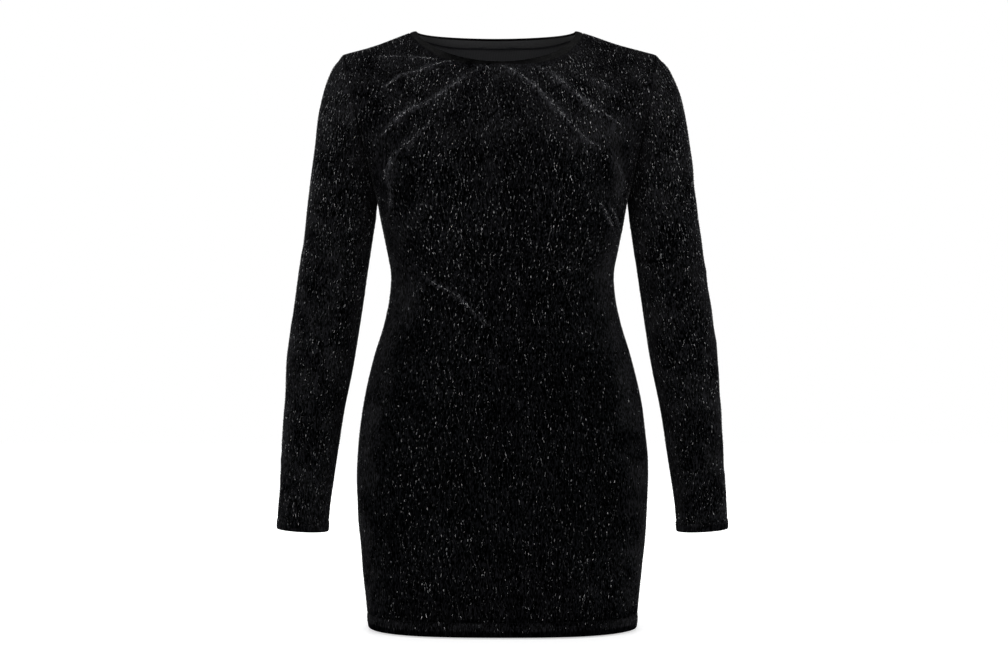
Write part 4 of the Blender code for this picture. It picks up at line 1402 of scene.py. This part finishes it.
EDGE_FREE = 0.007
TOP_FREE = 0.006
ARMHOLE_FREE = 0.003
front_top, back_top = (middle_line(cloth.flat)[-1] - TOP_FREE for cloth in (front, back))
cuff_end = middle_line(left.flat)[-1] - EDGE_FREE
front_glints = add_glints("front_glints", front, EDGE_FREE, front_top, 101, 1, FRONT_CREASES)
back_glints = add_glints("back_glints", back, EDGE_FREE, back_top, 202, -1, BACK_CREASES)
left_glints = add_glints("sleeve_left_glints", left, ARMHOLE_FREE, cuff_end, 303, -1)
right_glints = add_glints("sleeve_right_glints", right, ARMHOLE_FREE, cuff_end, 404, 1)

# %% [markdown]
# ## How the cloth is cut
#
# Stretch velvet is cut smaller than the body and stretched about 5 percent when worn.


# %% [markdown]
# ## Studio
#
# Black velvet needs a bright, even surrounding with soft boxes at both sides, so that the pile
# glows along its edges. The floor is white and glows as painted light, less near the dress than
# further away, and the world is white to the camera and a soft grey light to everything else.

# %% Floor, world and lights
FLOOR_HEIGHT = -0.7722
FLOOR_HALF = 4.0
FLOOR_GLOW_FROM = (0.82, 1.5)  # metres from the dress over which the floor's painted glow comes up
FLOOR_GLOW = (0.52, 0.78)
NEARLY_UPRIGHT = 0.9

# Painted light: the floor glows, weaker near the dress so that the shade under it shows.
glowing_floor, glowing_floor_shader = add_material(
    "white_floor_painted_glow", Roughness=0.6, Base_Color=linear("#f4f4f4"),
    Emission_Color=linear("#ffffff"),
)
from_middle = add_node(
    glowing_floor, "VectorMath", "Value",
    [(0, add_node(glowing_floor, "TexCoord", "Object"))], operation="LENGTH",
)
painted_floor_glow = remap(glowing_floor, from_middle, FLOOR_GLOW_FROM, FLOOR_GLOW)
link(glowing_floor, painted_floor_glow, glowing_floor_shader, "Emission Strength")
corners = np.array([[-1, -1], [1, -1], [1, 1], [-1, 1]]) * FLOOR_HALF
floor_mesh = bpy.data.meshes.new("studio_floor")
floor_mesh.from_pydata([(x, y, FLOOR_HEIGHT) for x, y in corners], [], [(0, 1, 2, 3)])
floor_mesh.materials.append(glowing_floor)
floor = bpy.data.objects.new("studio_floor", floor_mesh)
bpy.context.scene.collection.objects.link(floor)

world = bpy.data.worlds.new("white_studio")
bpy.context.scene.world = world
world.use_nodes = True
world.node_tree.nodes.clear()
seen = add_node(world, "Background", "Background", Color=linear("#ffffff"))
lit = add_node(world, "Background", "Background", Color=linear("#e2e3e6"), Strength=0.40)
camera_ray = add_node(world, "LightPath", "Is Camera Ray")
either = add_node(world, "MixShader", "Shader", [("Fac", camera_ray), (1, lit), (2, seen)])
add_node(world, "OutputWorld", None, [("Surface", either)])

Softbox = namedtuple("Softbox", "name place aim size power")
SOFTBOXES = (
    Softbox("softbox_left", (-1.7, -1.5, 0.5), (0.0, 0.0, -0.35), 1.3, 22.0),
    Softbox("softbox_right", (1.8, -1.3, 0.4), (0.0, 0.0, -0.35), 1.3, 20.0),
    Softbox("softbox_top", (0.0, 0.2, 1.5), (0.0, 0.0, -0.3), 1.4, 14.0),
    Softbox("softbox_behind", (0.0, 1.9, 0.4), (0.0, 0.0, -0.35), 1.6, 14.0),
)
for box in SOFTBOXES:
    lamp = bpy.data.lights.new(box.name, "AREA")
    lamp.size, lamp.energy = box.size, box.power
    lamp_object = bpy.data.objects.new(box.name, lamp)
    place, aim = (np.array(value) for value in (box.place, box.aim))
    back_axis = unit(place - aim)
    upwards = [0.0, 0.0, 1.0] if abs(back_axis[2]) < NEARLY_UPRIGHT else Y_AXIS
    side_axis = unit(np.cross(upwards, back_axis))
    turn = np.eye(4)
    turn[:3, 0], turn[:3, 1] = side_axis, np.cross(back_axis, side_axis)
    turn[:3, 2], turn[:3, 3] = back_axis, place
    lamp_object.matrix_world = Matrix(turn.tolist())
    bpy.context.scene.collection.objects.link(lamp_object)
print("softboxes:", len(SOFTBOXES))

# %% Camera and view
CAMERA_PLACE = (0.002, -2.4, -0.3965)
LENS = 65.93
camera_data = bpy.data.cameras.new("camera")
camera_data.lens, camera_data.sensor_width = LENS, 36.0
camera = bpy.data.objects.new("camera", camera_data)
camera.location = CAMERA_PLACE
camera.rotation_euler = (math.radians(90), 0.0, 0.0)
bpy.context.scene.collection.objects.link(camera)
bpy.context.scene.camera = camera
bpy.context.scene.view_settings.view_transform = "Standard"
bpy.context.scene.view_settings.look = "None"
